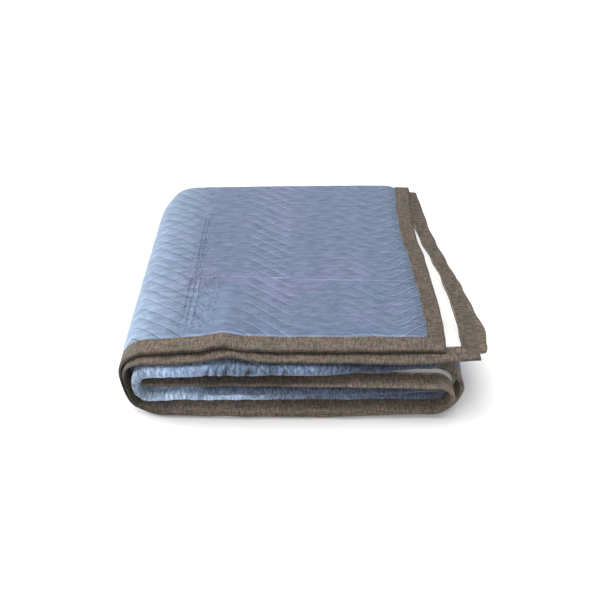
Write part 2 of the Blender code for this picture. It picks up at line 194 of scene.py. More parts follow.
# Where the free end at the right stops in each layer, by the depth Y
RIGHT_END = table("y first second lower", [
    (-0.260, 0.236, 0.290, 0.302),
    (-0.225, 0.238, 0.294, 0.309),
    (-0.190, 0.241, 0.298, 0.316),
    (-0.155, 0.243, 0.300, 0.321),
    (-0.100, 0.242, 0.298, 0.312),
    (-0.040, 0.241, 0.293, 0.303),
    (0.020, 0.238, 0.283, 0.287),
    (0.080, 0.231, 0.272, 0.272),
    (0.150, 0.231, 0.264, 0.264),
    (0.280, 0.240, 0.259, 0.252),
])

# The ridge where the front of the first and second layers stands up over a bunched fold
RIDGE_HEIGHT = 0.006
RIDGE_AT = 0.368
RIDGE_REACH = 0.035
RIDGE_DEPTH = 0.125

# How strongly the quilting shows, in its relief and in the painted shade and highlight beside its lines,
# and how much painted shade the front fold has, by the length U. The rows that slope down to the right
# stand out in the light, and the others are pressed almost flat.
TONE = table("u quilting fold", [
    (0.000, 1.30, 1.00),
    (0.062, 1.30, 1.00),
    (0.090, 0.50, 1.00),
    (0.150, 0.60, 1.00),
    (0.190, 0.30, 0.95),
    (0.242, 0.30, 0.45),
    (0.262, 1.00, 0.30),
    (0.330, 1.00, 0.20),
    (0.352, 0.14, 0.30),
    (0.412, 0.16, 0.10),
    (0.440, 1.00, 0.02),
    (0.560, 0.95, 0.00),
    (0.680, 0.60, 0.00),
    (0.800, 0.60, 0.15),
    (0.930, 0.60, 0.45),
    (1.139, 0.60, 0.90),
    (1.271, 0.60, 1.00),
    (1.762, 0.60, 0.60),
])

# Where the front fold is bunched up
BUNCHES = table("u reach strength", [
    (0.375, 0.035, 1.2),
    (0.790, 0.050, 0.8),
])

# Spans of a length, with the width of their soft ends, in which a cloth has a tone of its own, of its
# colour or of painted light and shade
SPANS = {
    "rounded_quilting": (0.425, 0.700, 0.020),
    "front_fold": (FOLD_MIDDLE - 0.020, FOLD_MIDDLE + 0.020, 0.025),
    "towards_the_back": (0.250, 0.490, 0.200),
    "pressed_line": (0.045, 0.405, 0.020),
    "pale_rim": (0.050, 0.415, 0.020),
    "bright_patch": (0.375, 0.430, 0.020),
    "bright_patch_depth": (0.050, 0.130, 0.040),
    "lit_top_of_bend": (0.405, 0.465, 0.030),
    "lit_foot_of_bend": (0.690, 0.800, 0.060),
    "dim_middle_of_bend": (0.520, 0.620, 0.030),
    "trough_depth": (0.050, 0.385, 0.030),
    "trough_sides": (0.400, 0.446, 0.020),
    "trough_sides_depth": (0.045, 0.400, 0.020),
    "rumpled_patch": (0.385, 0.440, 0.015),
    "rumpled_patch_depth": (0.055, 0.175, 0.020),
    "lower_binding": (0.720, 1.450, 0.080),
    "inside_of_left_bend": (0.585, 0.622, 0.022),
}

# Creases of the blue face, each from one place to another along U and V. A depth below 0 is a ridge.
CREASES = table("u v to_u to_v depth half sway", [
    # the trough at the left of the top, with its two sharp wrinkles
    (0.4310, 0.400, 0.4310, 0.050, 0.0003, 0.0090, 0.002),
    (0.4220, 0.415, 0.4270, 0.190, 0.0008, 0.0018, 0.002),
    (0.4300, 0.390, 0.4350, 0.180, 0.0009, 0.0018, 0.002),
    (0.4255, 0.400, 0.4305, 0.185, -0.0005, 0.0018, 0.002),
    (0.4360, 0.190, 0.4420, 0.060, 0.0009, 0.0018, 0.003),
    (0.4290, 0.170, 0.4340, 0.040, 0.0008, 0.0018, 0.003),
    (0.4220, 0.160, 0.4200, 0.050, 0.0007, 0.0016, 0.004),
    (0.4150, 0.175, 0.4080, 0.085, 0.0006, 0.0018, 0.003),
    (0.4080, 0.160, 0.3960, 0.100, 0.0005, 0.0018, 0.002),
    (0.4250, 0.090, 0.4000, 0.036, 0.0009, 0.0018, 0.001),
    (0.4180, 0.082, 0.3880, 0.037, 0.0007, 0.0018, 0.001),
    (0.4300, 0.076, 0.4120, 0.035, 0.0008, 0.0016, 0.001),
    (0.4150, 0.070, 0.3760, 0.036, 0.0006, 0.0020, 0.001),
    (0.4380, 0.280, 0.4600, 0.265, 0.0006, 0.0018, 0.001),
    (0.4380, 0.240, 0.4700, 0.222, 0.0007, 0.0018, 0.001),
    (0.4380, 0.216, 0.4640, 0.204, 0.0005, 0.0016, 0.001),
    # the pressed fold right across the top, a fine ridge with a fine groove behind it
    (0.4060, 0.1840, 0.2410, 0.1760, -0.0009, 0.0016, 0.001),
    (0.4160, 0.1880, 0.2600, 0.1800, 0.0007, 0.0014, 0.001),
    (0.2500, 0.1765, 0.1200, 0.1700, -0.0008, 0.0016, 0.001),
    (0.2500, 0.1800, 0.1300, 0.1740, 0.0004, 0.0014, 0.001),
    (0.1250, 0.1700, 0.0300, 0.1660, -0.0006, 0.0016, 0.001),
    # small gathers that run in from the binding at the right
    (0.0400, 0.0550, 0.0780, 0.0420, -0.0009, 0.0020, 0.001),
    (0.0390, 0.0740, 0.0830, 0.0600, -0.0009, 0.0020, 0.001),
    (0.0390, 0.0930, 0.0740, 0.0830, -0.0006, 0.0018, 0.001),
    (0.0385, 0.1130, 0.0720, 0.1000, -0.0009, 0.0018, 0.001),
    (0.0385, 0.1380, 0.0700, 0.1280, -0.0007, 0.0018, 0.001),
    (0.0385, 0.1540, 0.0620, 0.1460, -0.0007, 0.0016, 0.001),
    (0.0385, 0.2010, 0.0760, 0.1880, -0.0007, 0.0018, 0.001),
    (0.0385, 0.2320, 0.0720, 0.2210, -0.0006, 0.0018, 0.001),
    (0.0385, 0.3560, 0.0800, 0.3430, -0.0009, 0.0020, 0.001),
    (0.0385, 0.3700, 0.0760, 0.3590, -0.0006, 0.0018, 0.001),
])


def ease(low, high, value):
    """Smooth step from 0 at low to 1 at high."""
    part = np.clip((value - low) / (high - low), 0.0, 1.0)
    return part * part * (3.0 - 2.0 * part)


def read_table(rows, key, column, value):
    """Smooth value of a column between the rows of a table."""
    marks = np.array([row[key] for row in rows])
    amounts = np.array([row[column] for row in rows])
    index = np.clip(np.searchsorted(marks, value) - 1, 0, len(rows) - 2)
    part = ease(marks[index], marks[index + 1], value)
    return amounts[index] + (amounts[index + 1] - amounts[index]) * part


def rumple(one, two, size_one, size_two, seed):
    """Smooth random height from -1 to 1 over two lengths, with bumps of the given sizes."""
    lattice = np.random.default_rng(seed).uniform(-1.0, 1.0, (LATTICE, LATTICE))
    a = np.asarray(one, float) / size_one
    b = np.asarray(two, float) / size_two
    i = np.floor(a).astype(int)
    j = np.floor(b).astype(int)
    x = ease(0.0, 1.0, a - i)
    y = ease(0.0, 1.0, b - j)
    i, next_i = i % LATTICE, (i + 1) % LATTICE
    j, next_j = j % LATTICE, (j + 1) % LATTICE
    low = lattice[i, j] * (1 - x) + lattice[next_i, j] * x
    high = lattice[i, next_j] * (1 - x) + lattice[next_i, next_j] * x
    return low * (1 - y) + high * y


def ripple(length, size, seed):
    """Smooth random height from -1 to 1 along one length."""
    return rumple(length, np.zeros_like(np.asarray(length, float)), size, 1.0, seed)


def stretch(distance, near, far, length):
    """Place at a distance along a run: true close to its start, evenly spread over the rest."""
    way = np.sign(far - near)
    start = near + way * EXACT_BAND
    spread = start + (far - start) * (distance - EXACT_BAND) / (length - EXACT_BAND)
    return np.where(distance <= EXACT_BAND, near + way * distance, spread)


def fold_in_four(u, v, t):
    """Depth y, and height q in the strip of four layers, at lengths u and v and offset t."""
    first = read_table(FRONT, "u", "first", u) + EDGE_WAVER * ripple(u, 0.034, 11)
    second = read_table(FRONT, "u", "second", u) + EDGE_WAVER * ripple(u, 0.031, 12)
    back = read_table(FRONT, "u", "back", u)
    fold = read_table(FRONT, "u", "fold", u) + 0.5 * PITCH + EDGE_WAVER * ripple(u, 0.027, 13)
    outer_turn = math.pi * (v - V_BACK) / BACK_BEND
    front_turn = math.pi * (v - V_FRONT) / TIGHT_BEND
    inner_turn = math.pi * (v - V_INNER) / TIGHT_BEND
    outer = 1.5 * PITCH + t
    front = np.maximum(0.5 * PITCH + t, THINNEST)
    inner = np.maximum(0.5 * PITCH - t, THINNEST)
    stops = [v <= V_BACK, v <= V_FOURTH, v <= V_FRONT, v <= V_THIRD, v <= V_INNER, v <= V_SECOND]
    y = np.select(stops, [
        stretch(v, first, back, LAYER_LENGTH),
        back + outer * np.sin(outer_turn),
        back + (fold - back) * (v - V_FOURTH) / LAYER_LENGTH,
        fold - front * np.sin(front_turn),
        fold + (back - fold) * (v - V_THIRD) / LAYER_LENGTH,
        back + inner * np.sin(inner_turn),
    ], stretch(V_TOTAL - v, second, back, LAYER_LENGTH))
    q = np.select(stops, [
        3.5 * PITCH + t,
        2 * PITCH + outer * np.cos(outer_turn),
        0.5 * PITCH - t,
        PITCH - front * np.cos(front_turn),
        1.5 * PITCH + t,
        2 * PITCH - inner * np.cos(inner_turn),
    ], 2.5 * PITCH - t)
    return y, q


def right_end(v, y):
    """Where the free end at the right stops, at length v and depth y."""
    first = read_table(RIGHT_END, "y", "first", y) + EDGE_WAVER * ripple(y + 1, 0.037, 14)
    second = read_table(RIGHT_END, "y", "second", y) + EDGE_WAVER * ripple(y + 1, 0.033, 15)
    lower = read_table(RIGHT_END, "y", "lower", y)
    upper_part = first + (lower - first) * ease(V_BACK, V_FOURTH, v)
    lower_part = lower + (second - lower) * ease(V_INNER, V_SECOND, v)
    return np.where(v <= V_FOURTH, upper_part, lower_part)


def inner_end(v):
    """Where the tucked end stops at length v."""
    return TUCKED_OUTER + (TUCKED_INNER - TUCKED_OUTER) * ease(V_THIRD, V_INNER, v)


def left_radius(q):
    """Half width of the left bend at height q in the strip."""
    return LEFT_INNER + LEFT_SPREAD * q + LEFT_HOLLOW * ease(LEFT_HOLLOW_FROM, LEFT_HOLLOW_TO, q)


def left_turn(u):
    """Angle round the left bend at length u, from 0 at its top to half a turn at its bottom."""
    part = np.clip((u - U_LEFT) / LEFT_BEND, 0.0, 1.0)
    upper = math.pi / 2 * (2 * part) ** LEFT_EVENNESS
    lower = math.pi - math.pi / 2 * (2 * (1 - part)) ** LEFT_EVENNESS
    return np.where(part <= 0.5, upper, lower)


def right_radius(q):
    """Half width of the right bend at height q in the strip."""
    return SPREAD / 2 + q + RIGHT_HOLLOW * ease(RIGHT_HOLLOW_FROM, RIGHT_HOLLOW_TO, q)


def fold_in_three(u, y, q, end, tucked):
    """Place x and height z of a point of a layer that stops at end and at tucked."""
    drawn_in = BACK_CORNER_ROUND * ease(CORNER_FROM, CORNER_TO, y)
    left = LEFT_CENTRE + drawn_in
    droop = END_DROOP * ease(DROOP_REACH, 0.0, u)
    turn = left_turn(u)
    reach = np.maximum(0.0, np.sin(turn)) ** LEFT_FULLNESS
    left_height = 2 * PITCH + SPREAD + q
    right_turn = math.pi * (u - U_RIGHT) / RIGHT_BEND
    right_height = SPREAD / 2 + q
    stops = [u <= U_LEFT, u <= U_FLOOR, u <= U_RIGHT, u <= U_MIDDLE]
    x = np.select(stops, [
        stretch(u, end, left, TOP_LENGTH),
        left - left_radius(q) * reach,
        left + (RIGHT_CENTRE - left) * (u - U_FLOOR) / FLOOR_LENGTH,
        RIGHT_CENTRE + right_radius(q) * np.sin(right_turn),
    ], stretch(U_TOTAL - u, tucked + drawn_in, RIGHT_CENTRE, MIDDLE_LENGTH))
    z = np.select(stops, [
        8 * PITCH + 2 * SPREAD + q - droop,
        6 * PITCH + SPREAD + left_height * np.cos(turn),
        4 * PITCH - q,
        4 * PITCH + SPREAD / 2 - right_height * np.cos(right_turn),
    ], 4 * PITCH + SPREAD + q)
    return x, z


def ridge(u, v):
    """How far the front of the first and second layers stands up at lengths u and v."""
    from_edge = np.minimum(v, V_TOTAL - v)
    along = np.exp(-((u - RIDGE_AT) / RIDGE_REACH) ** 2)
    return RIDGE_HEIGHT * along * ease(RIDGE_DEPTH, EDGE_SLOPE, from_edge)


def place(u, v, t):
    """Points of the folded blanket at lengths u and v and offset t."""
    u, v, t = np.broadcast_arrays(np.asarray(u, float), np.asarray(v, float), np.asarray(t, float))
    t = t + CLOTH_WAVE * rumple(u, v, 0.075, 0.090, 21) * (1.0 - resting(u))
    middle_y = fold_in_four(u, v, np.zeros_like(t))[0]
    y, q = fold_in_four(u, v, t)
    x, z = fold_in_three(u, y, q, right_end(v, middle_y), inner_end(v))
    z = np.maximum(z + ridge(u, v) - FLOOR_CLEARANCE, 0.0)
    return np.stack((x - CENTRE[0], y - CENTRE[1], z), axis=-1)


def resting(u):
    """1 where the blanket lies on the floor, and 0 away from it."""
    return ease(U_FLOOR - LEFT_BEND / 4, U_FLOOR, u) * ease(U_RIGHT + RIGHT_BEND / 4, U_RIGHT, u)


def edge_distance(u, v):
    """Distance to the nearest bound edge."""
    return np.minimum(np.minimum(u, U_TOTAL - u), np.minimum(v, V_TOTAL - v))


def level(u, v, edge, full):
    """Height of a surface that is squeezed under the binding and full elsewhere."""
    return edge + (full - edge) * ease(EDGE_BAND, EDGE_SLOPE, edge_distance(u, v))


def zigzag(u):
    """How far the quilting is moved towards the back at length u, with rounded points."""
    turn = np.cos(math.pi * (u - ZIGZAG_START) / ZIGZAG_HALF)
    return -ZIGZAG_RISE * np.arcsin(ZIGZAG_SHARP * turn) / math.asin(ZIGZAG_SHARP)


def wobble(u, v):
    """How far the lines of stitches wander."""
    return STITCH_WANDER * rumple(u, v, 0.060, 0.050, 31)


def pillow(u, v, spacing):
    """Height of the puffed cloth, from 0 at a line of stitches to 1 between two of them."""
    rows = (v - wobble(u, v) - zigzag(u) - QUILT_START) / spacing
    from_line = np.abs(rows - np.round(rows))
    return 1.0 - (1.0 - 2.0 * from_line) ** PILLOW_ROUNDNESS


def first_layer(v):
    """1 on the outer layer, and 0 where two layers are pressed together."""
    return ease(V_FOURTH + 0.02, V_FOURTH - 0.02, v)


def creases(u, v):
    """Depth of the listed creases at lengths u and v."""
    depth = np.zeros_like(u)
    for row in CREASES:
        along_u = row["to_u"] - row["u"]
        along_v = row["to_v"] - row["v"]
        length = math.hypot(along_u, along_v)
        part = ((u - row["u"]) * along_u + (v - row["v"]) * along_v) / length ** 2
        side = ((u - row["u"]) * along_v - (v - row["v"]) * along_u) / length
        near = (np.abs(side) < 5 * row["half"] + row["sway"]) & (part > -0.05) & (part < 1.05)
        if not near.any():
            continue
        bend = row["sway"] * ripple(part[near] * length + row["u"] * 7, 0.022, 41)
        ends = ease(0.0, 0.16, part[near]) * ease(1.0, 0.84, part[near])
        strength = 0.75 + 0.25 * ripple(part[near] * length, 0.012, 42)
        across = (side[near] + bend) / (CREASE_WIDTH * row["half"])
        depth[near] += CREASE_STRENGTH * row["depth"] * strength * ends * np.exp(-across ** 2)
    return depth


def front_wrinkles(u, v):
    """Short gathers across the front fold, deeper where the fold is bunched up."""
    from_fold = v - FOLD_MIDDLE
    slanted = u + 0.45 * from_fold
    bunched = 0.7
    for row in BUNCHES:
        bunched = bunched + row["strength"] * np.exp(-((u - row["u"]) / row["reach"]) ** 2)
    fine = rumple(slanted, v, 0.0065, 0.030, 51)
    wide = rumple(slanted, v, 0.021, 0.040, 52)
    return ease(FOLD_REACH, FOLD_FULL, np.abs(from_fold)) * bunched * (0.00065 * fine + 0.0008 * wide)


def fold_shade(u, v):
    """How much painted shade the blue cloth has, deep between the layers at the front fold."""
    return ease(SHADE_REACH, SHADE_FULL, np.abs(v - FOLD_MIDDLE)) * read_table(TONE, "u", "fold", u)


def face_tones(u, v):
    """Strength of the quilting, painted shade of the fold, and crease: 0 on a ridge, where highlight is
    painted, and 1 in a groove, where shade is painted.
    """
    depth = creases(u, v) * first_layer(v) - front_wrinkles(u, v)
    crease = 0.5 + 0.5 * np.clip(depth / CREASE_FULL, -1.0, 1.0)
    return np.stack((read_table(TONE, "u", "quilting", u), fold_shade(u, v), crease), axis=-1)


def face_height(u, v, settings):
    """Height of the blue face above the middle of the cloth."""
    base = EDGE_TOP + (FACE_TOP - EDGE_TOP) * ease(EDGE_BAND, FACE_FULL, edge_distance(u, v))
    inside = ease(EDGE_BAND, RELIEF_FULL, edge_distance(u, v))
    outer = first_layer(v)
    over_back = ease(V_BACK - 0.045, V_BACK, v) * outer
    share = (INNER_PUFF + (1.0 - INNER_PUFF) * outer) * (1.0 - 0.9 * resting(u)) * (1.0 - 0.55 * over_back)
    strength = 1.0 + (read_table(TONE, "u", "quilting", u) - 1.0) * outer
    fullness = 0.85 + 0.30 * rumple(u, v, 0.035, 0.028, 61)
    puffed = pillow(u, v, settings.row_spacing) * fullness
    fine = 0.00022 * rumple(u, v, 0.009, 0.0065, 62) + 0.00030 * rumple(u, v, 0.030, 0.022, 63)
    relief = share * (settings.puff_height * (0.5 + (puffed - 0.5) * strength) + fine)
    return base + inside * (relief - creases(u, v) * outer + front_wrinkles(u, v))


def back_height(u, v, settings):
    """Height of the outer side of the white back cloth, below the middle of the cloth."""
    base = level(u, v, EDGE_BOTTOM - GAP, FACE_BOTTOM - GAP) - BACK_THICKNESS
    inside = ease(EDGE_BAND, RELIEF_FULL, edge_distance(u, v))
    fine = 0.00015 * (1.0 + rumple(u, v, 0.008, 0.007, 71))
    return base - inside * (0.0007 * pillow(u, v, settings.row_spacing) + fine)


class Shell:
    """Collects the points, lengths and faces of one mesh."""

    def __init__(self):
        self.points = []
        self.lengths = []
        self.tones = []
        self.faces = []
        self.count = 0

    def add(self, points, lengths, tones=None):
        """Adds points with their lengths along the cloth and their tones; returns the first's number."""
        first = self.count
        self.points.append(points)
        self.lengths.append(lengths)
        self.tones.append(np.zeros((len(points), 3)) if tones is None else tones)
        self.count += len(points)
        return first

    def quads(self, near, far, flip):
        """Joins two lines of as many points."""
        for k in range(len(near) - 1):
            face = (near[k], far[k], far[k + 1], near[k + 1])
            self.faces.append(face[::-1] if flip else face)

    def zipped(self, near, far, marks_near, marks_far, flip):
        """Joins two lines whose points lie at the given marks."""
        i = 0
        j = 0
        while i < len(near) - 1 or j < len(far) - 1:
            step_near = j == len(far) - 1 or (i < len(near) - 1 and marks_near[i + 1] <= marks_far[j + 1])
            if step_near:
                face = (near[i], far[j], near[i + 1])
                i += 1
            else:
                face = (near[i], far[j], far[j + 1])
                j += 1
            self.faces.append(face[::-1] if flip else face)

    def finish(self, name, material):
        """Makes the mesh object."""
        mesh = bpy.data.meshes.new(name)
        mesh.from_pydata(np.concatenate(self.points).tolist(), [], self.faces)
        corners = np.empty(len(mesh.loops), np.int32)
        mesh.loops.foreach_get("vertex_index", corners)
        layer = mesh.uv_layers.new(name="Cloth")
        layer.data.foreach_set("uv", np.concatenate(self.lengths)[corners].astype(np.float32).ravel())
        tones = mesh.attributes.new("Tones", "FLOAT_VECTOR", "POINT")
        tones.data.foreach_set("vector", np.concatenate(self.tones).astype(np.float32).ravel())
        mesh.shade_smooth()
        mesh.materials.append(material)
        mesh.update()
        thing = bpy.data.objects.new(name, mesh)
        bpy.context.scene.collection.objects.link(thing)
        return thing


def skin(shell, columns, rows_of, height_of, flip, tones_of=None):
    """Adds one surface of a sheet, whose columns may have different rows, and returns its numbers."""
    rows = [rows_of(u) for u in columns]
    u = np.concatenate([np.full(len(row), column) for column, row in zip(columns, rows)])
    v = np.concatenate(rows)
    lengths = np.stack((u, v - wobble(u, v)), axis=-1)
    tones = tones_of(u, v) if tones_of else None
    number = shell.add(place(u, v, height_of(u, v)), lengths, tones)
    numbers = []
    for row in rows:
        numbers.append(list(range(number, number + len(row))))
        number += len(row)
    for k in range(len(columns) - 1):
        if len(rows[k]) == len(rows[k + 1]):
            shell.quads(numbers[k], numbers[k + 1], flip)
        else:
            shell.zipped(numbers[k], numbers[k + 1], rows[k], rows[k + 1], flip)
    return numbers, rows


def sheet(name, material, upper, lower, tones_of=None):
    """One closed sheet between two surfaces, each given by its columns, rows and height."""
    shell = Shell()
    top, top_rows = skin(shell, *upper, flip=True, tones_of=tones_of)
    base, base_rows = skin(shell, *lower, flip=False)
    shell.zipped([line[0] for line in top], [line[0] for line in base], upper[0], lower[0], True)
    shell.zipped([line[-1] for line in top], [line[-1] for line in base], upper[0], lower[0], False)
    shell.zipped(top[0], base[0], top_rows[0], base_rows[0], False)
    shell.zipped(top[-1], base[-1], top_rows[-1], base_rows[-1], True)
    return shell.finish(name, material)


def run(start, stop, step):
    """Places from start up to, but without, stop, about a step apart."""
    count = max(1, round((stop - start) / step))
    return [start + (stop - start) * k / count for k in range(count)]


def fine_columns(top, bend, floor, middle):
    """Places along U, with the given steps on each stretch and closer ones in the trough."""
    tail = U_TOTAL - EDGE_SLOPE
    return (run(0.0, EDGE_BAND, 0.011) + [EDGE_BAND, (EDGE_BAND + EDGE_SLOPE) / 2]
            + run(EDGE_SLOPE, TROUGH_START, top) + run(TROUGH_START, TROUGH_END, 0.6 * top)
            + run(TROUGH_END, U_LEFT, top) + run(U_LEFT, U_FLOOR, bend)
            + run(U_FLOOR, U_RIGHT, floor) + run(U_RIGHT, U_MIDDLE, bend)
            + run(U_MIDDLE, tail, middle)
            + [tail, U_TOTAL - EDGE_BAND] + run(U_TOTAL - 0.022, U_TOTAL, 0.011) + [U_TOTAL])


def later_rows(back, layer, front, turn):
    """Places along V behind the first layer, with the given steps on each stretch."""
    near_edge = V_TOTAL - 0.080
    return (run(V_BACK, V_FOURTH, back) + run(V_FOURTH, V_FRONT - FOLD_REACH, layer)
            + run(V_FRONT - FOLD_REACH, V_FRONT, front) + run(V_FRONT, V_THIRD, turn)
            + run(V_THIRD, V_THIRD + FOLD_REACH, front) + run(V_THIRD + FOLD_REACH, V_INNER, layer)
            + run(V_INNER, V_SECOND, 0.003) + run(V_SECOND, near_edge, layer)
            + run(near_edge, V_TOTAL - EDGE_SLOPE, 0.008)
            + [V_TOTAL - EDGE_SLOPE, V_TOTAL - EDGE_BAND, V_TOTAL - BAND_MIDDLE, V_TOTAL])


def quilted_rows(u):
    """Places along V at length u, close together and along the zigzag where the quilting shows."""
    edge = [0.0, BAND_MIDDLE, EDGE_BAND]
    later = later_rows(0.0045, 0.090, 0.0065, 0.0024)
    quilted = EDGE_BAND <= u < U_FLOOR - 0.03 or U_RIGHT <= u < U_MIDDLE
    if not quilted:
        return np.array(edge + run(EDGE_SLOPE, V_BACK, 0.040) + later)
    plain = np.linspace(EDGE_SLOPE, V_BACK, QUILT_PLACES)[:-1]
    blend = ease(EDGE_SLOPE, EDGE_SLOPE + 0.10, plain) * ease(V_BACK, V_BACK - 0.10, plain)
    shown = plain + float(zigzag(u)) * blend
    return np.concatenate((edge, shown, later))


def plain_rows(u):
    """Places along V of the rows of a surface that doesn't show."""
    early = [0.0, EDGE_BAND] + run(EDGE_SLOPE, V_BACK, 0.060)
    return np.array(early + later_rows(0.006, 0.090, 0.012, 0.003))


def back_rows(u):
    """Places along V at length u of the white side, close together where it shows at the right."""
    layer = 0.030
    tight = 0.0024
    early = [0.0, BAND_MIDDLE, EDGE_BAND] + run(EDGE_SLOPE, V_BACK, layer)
    middle = (run(V_BACK, V_FOURTH, 0.0045) + run(V_FOURTH, V_FRONT, layer)
              + run(V_FRONT, V_THIRD, tight) + run(V_THIRD, V_INNER, layer)
              + run(V_INNER, V_SECOND, tight))
    late = run(V_SECOND, V_TOTAL - EDGE_SLOPE, 0.0040 if u < WEDGE_REACH else layer)
    edge = [V_TOTAL - EDGE_SLOPE, V_TOTAL - EDGE_BAND, V_TOTAL - BAND_MIDDLE, V_TOTAL]
    return np.array(early + middle + late + edge)


def hem_swell(distance):
    """How much thicker the binding is at a distance in: rolled at its hem, pulled in by its stitches."""
    hem = 0.00025 * np.exp(-((distance - HEM_AT) / 0.0011) ** 2)
    seam = 0.00040 * np.exp(-((distance - SEAM_AT) / 0.0009) ** 2)
    crown = 0.00020 * ease(0.0230, 0.0120, distance)
    return hem - seam + crown


def binding_section():
    """Outer and inner line of the binding's section: distance in, height, and which side it is on."""
    top = EDGE_TOP + GAP
    base = EDGE_BOTTOM - GAP - BACK_THICKNESS - GAP
    flat = [BINDING_WIDTH, 0.0273, 0.0264, 0.0251, SEAM_AT, 0.0235, 0.0220, 0.0170, 0.0115, 0.0065, 0.0020]
    middle = (top + base) / 2
    tall = (top - base) / 2 + BINDING_THICKNESS + hem_swell(0.0)
    outer = [(d, top + BINDING_THICKNESS + hem_swell(d), 1.0) for d in flat]
    for k in range(1, NOSE_STEPS):
        turn = math.pi * k / NOSE_STEPS
        reach = NOSE_ROOT - (NOSE_REACH + NOSE_ROOT) * math.sin(turn)
        outer.append((reach, middle + tall * math.cos(turn), math.cos(turn)))
    outer += [(d, base - BINDING_THICKNESS - hem_swell(d), -1.0) for d in reversed(flat)]
    halfway = 0.0150
    inner = [(BINDING_WIDTH, top, 0.0), (halfway, top, 0.0), (-GAP, top, 0.0),
             (-GAP, base, 0.0), (halfway, base, 0.0), (BINDING_WIDTH, base, 0.0)]
    return outer, inner


def binding_pucker(along, distance, side):
    """Small gathers of the binding cloth, outwards on both sides."""
    across = distance + 0.1
    gathers = rumple(along, across, 0.0052, 0.012, 81) + 0.7 * rumple(along, across, 0.017, 0.020, 82)
    return BINDING_GATHER * gathers * side


def strip(name, material, row):
    """The binding strip of a row of the table of bindings."""
    total = row["total"]
    outer, inner = binding_section()
    section = outer + inner[::-1]
    distance, height, side = np.array(section).T
    around = np.concatenate(([0.0], np.cumsum(np.hypot(np.diff(distance), np.diff(height)))))
    mitre = distance + MITRE_GAP
    to_band = EDGE_BAND - distance - MITRE_GAP
    corner = [mitre + to_band * k / CORNER_STEPS for k in range(CORNER_STEPS + 1)]
    middle = [np.full_like(distance, along) for along in run(EDGE_BAND, total - EDGE_BAND, 0.0036)]
    far = [total - along for along in reversed(corner)]
    shell = Shell()
    rings = []
    for along in corner[:-1] + middle + far:
        bump = binding_pucker(along, distance, side)
        waver = BINDING_WAVER * ripple(along, 0.028, 83) * ease(0.010, BINDING_WIDTH, distance)
        points = row["spot"](along, distance + waver, height + bump, row["other"])
        first = shell.add(points, np.stack((along, around), axis=-1))
        rings.append(list(range(first, first + len(section))))
    for near, far_ring in zip(rings, rings[1:]):
        shell.quads(near + near[:1], far_ring + far_ring[:1], False)
    marks_outer = np.linspace(0.0, 1.0, len(outer))
    marks_inner = np.array([0.0, 0.20, 0.42, 0.58, 0.80, 1.0])
    for ring, flip in ((rings[0], True), (rings[-1], False)):
        shell.zipped(ring[:len(outer)], ring[len(outer):][::-1], marks_outer, marks_inner, flip)
    return shell.finish(name, material)


def front_spot(u, distance, height, second):
    """Point of the front edge's binding, of the first or the second layer."""
    v = V_TOTAL - distance if second else distance
    return place(u, v, height)


def side_spot(v, distance, height, inner):
    """Point of the side binding, of the free end at the right or of the tucked end."""
    u = U_TOTAL - distance if inner else distance
    return place(u, v, height)


# The four strips: length, the function that gives its points, whether it is that function's other edge,
# and whether its path is mirrored, so that its faces have to be flipped
BINDINGS = [
    {"name": "front_upper", "total": U_TOTAL, "spot": front_spot, "other": False, "mirrored": True},
    {"name": "front_lower", "total": U_TOTAL, "spot": front_spot, "other": True, "mirrored": False},
    {"name": "side_outer", "total": V_TOTAL, "spot": side_spot, "other": False, "mirrored": False},
    {"name": "side_inner", "total": V_TOTAL, "spot": side_spot, "other": True, "mirrored": True},
]

# The lamps, which all look at the blanket; the strength is the name of a setting of the studio
LIGHTS = [
    {"name": "key_light", "kind": "AREA", "at": (-2.10, 0.20, 1.30), "strength": "key_power"},
    {"name": "fill_light", "kind": "AREA", "at": (0.20, -1.90, 1.10), "strength": "fill_power"},
    {"name": "overhead_light", "kind": "SUN", "at": (-0.20, 0.40, 1.90), "strength": "overhead"},
]
LAMP_SIZE = 1.2           # side of the two soft lamps
OVERHEAD_ANGLE = math.radians(45.0)
FLOOR_SIZE = 12.0
FLOOR_COLOUR = (0.94, 0.94, 0.94, 1.0)
CAMERA_PLACE = (-0.0043, -0.8996, 0.8595)
CAMERA_TILT = math.radians(47.231)
FOCAL_LENGTH = 36.0       # in millimetres, as is the sensor's width
SENSOR_WIDTH = 36.0


class Wire:
    """A socket of a material that can be used in sums as a number can."""

    def __init__(self, paint, socket):
        self.paint = paint
        self.socket = socket

    def sum(self, operation, one, two):
        """One sum of two numbers, of which at least one is a socket."""
        return self.paint.node("ShaderNodeMath", {"operation": operation}, {0: one, 1: two})

    def __add__(self, other):
        return self.sum("ADD", self, other)

    def __radd__(self, other):
        return self.sum("ADD", other, self)

    def __sub__(self, other):
        return self.sum("SUBTRACT", self, other)

    def __rsub__(self, other):
        return self.sum("SUBTRACT", other, self)

    def __mul__(self, other):
        return self.sum("MULTIPLY", self, other)

    def __rmul__(self, other):
        return self.sum("MULTIPLY", other, self)

    def __truediv__(self, other):
        return self.sum("DIVIDE", self, other)

    def __rtruediv__(self, other):
        return self.sum("DIVIDE", other, self)

    def __mod__(self, other):
        return self.sum("FLOORED_MODULO", self, other)


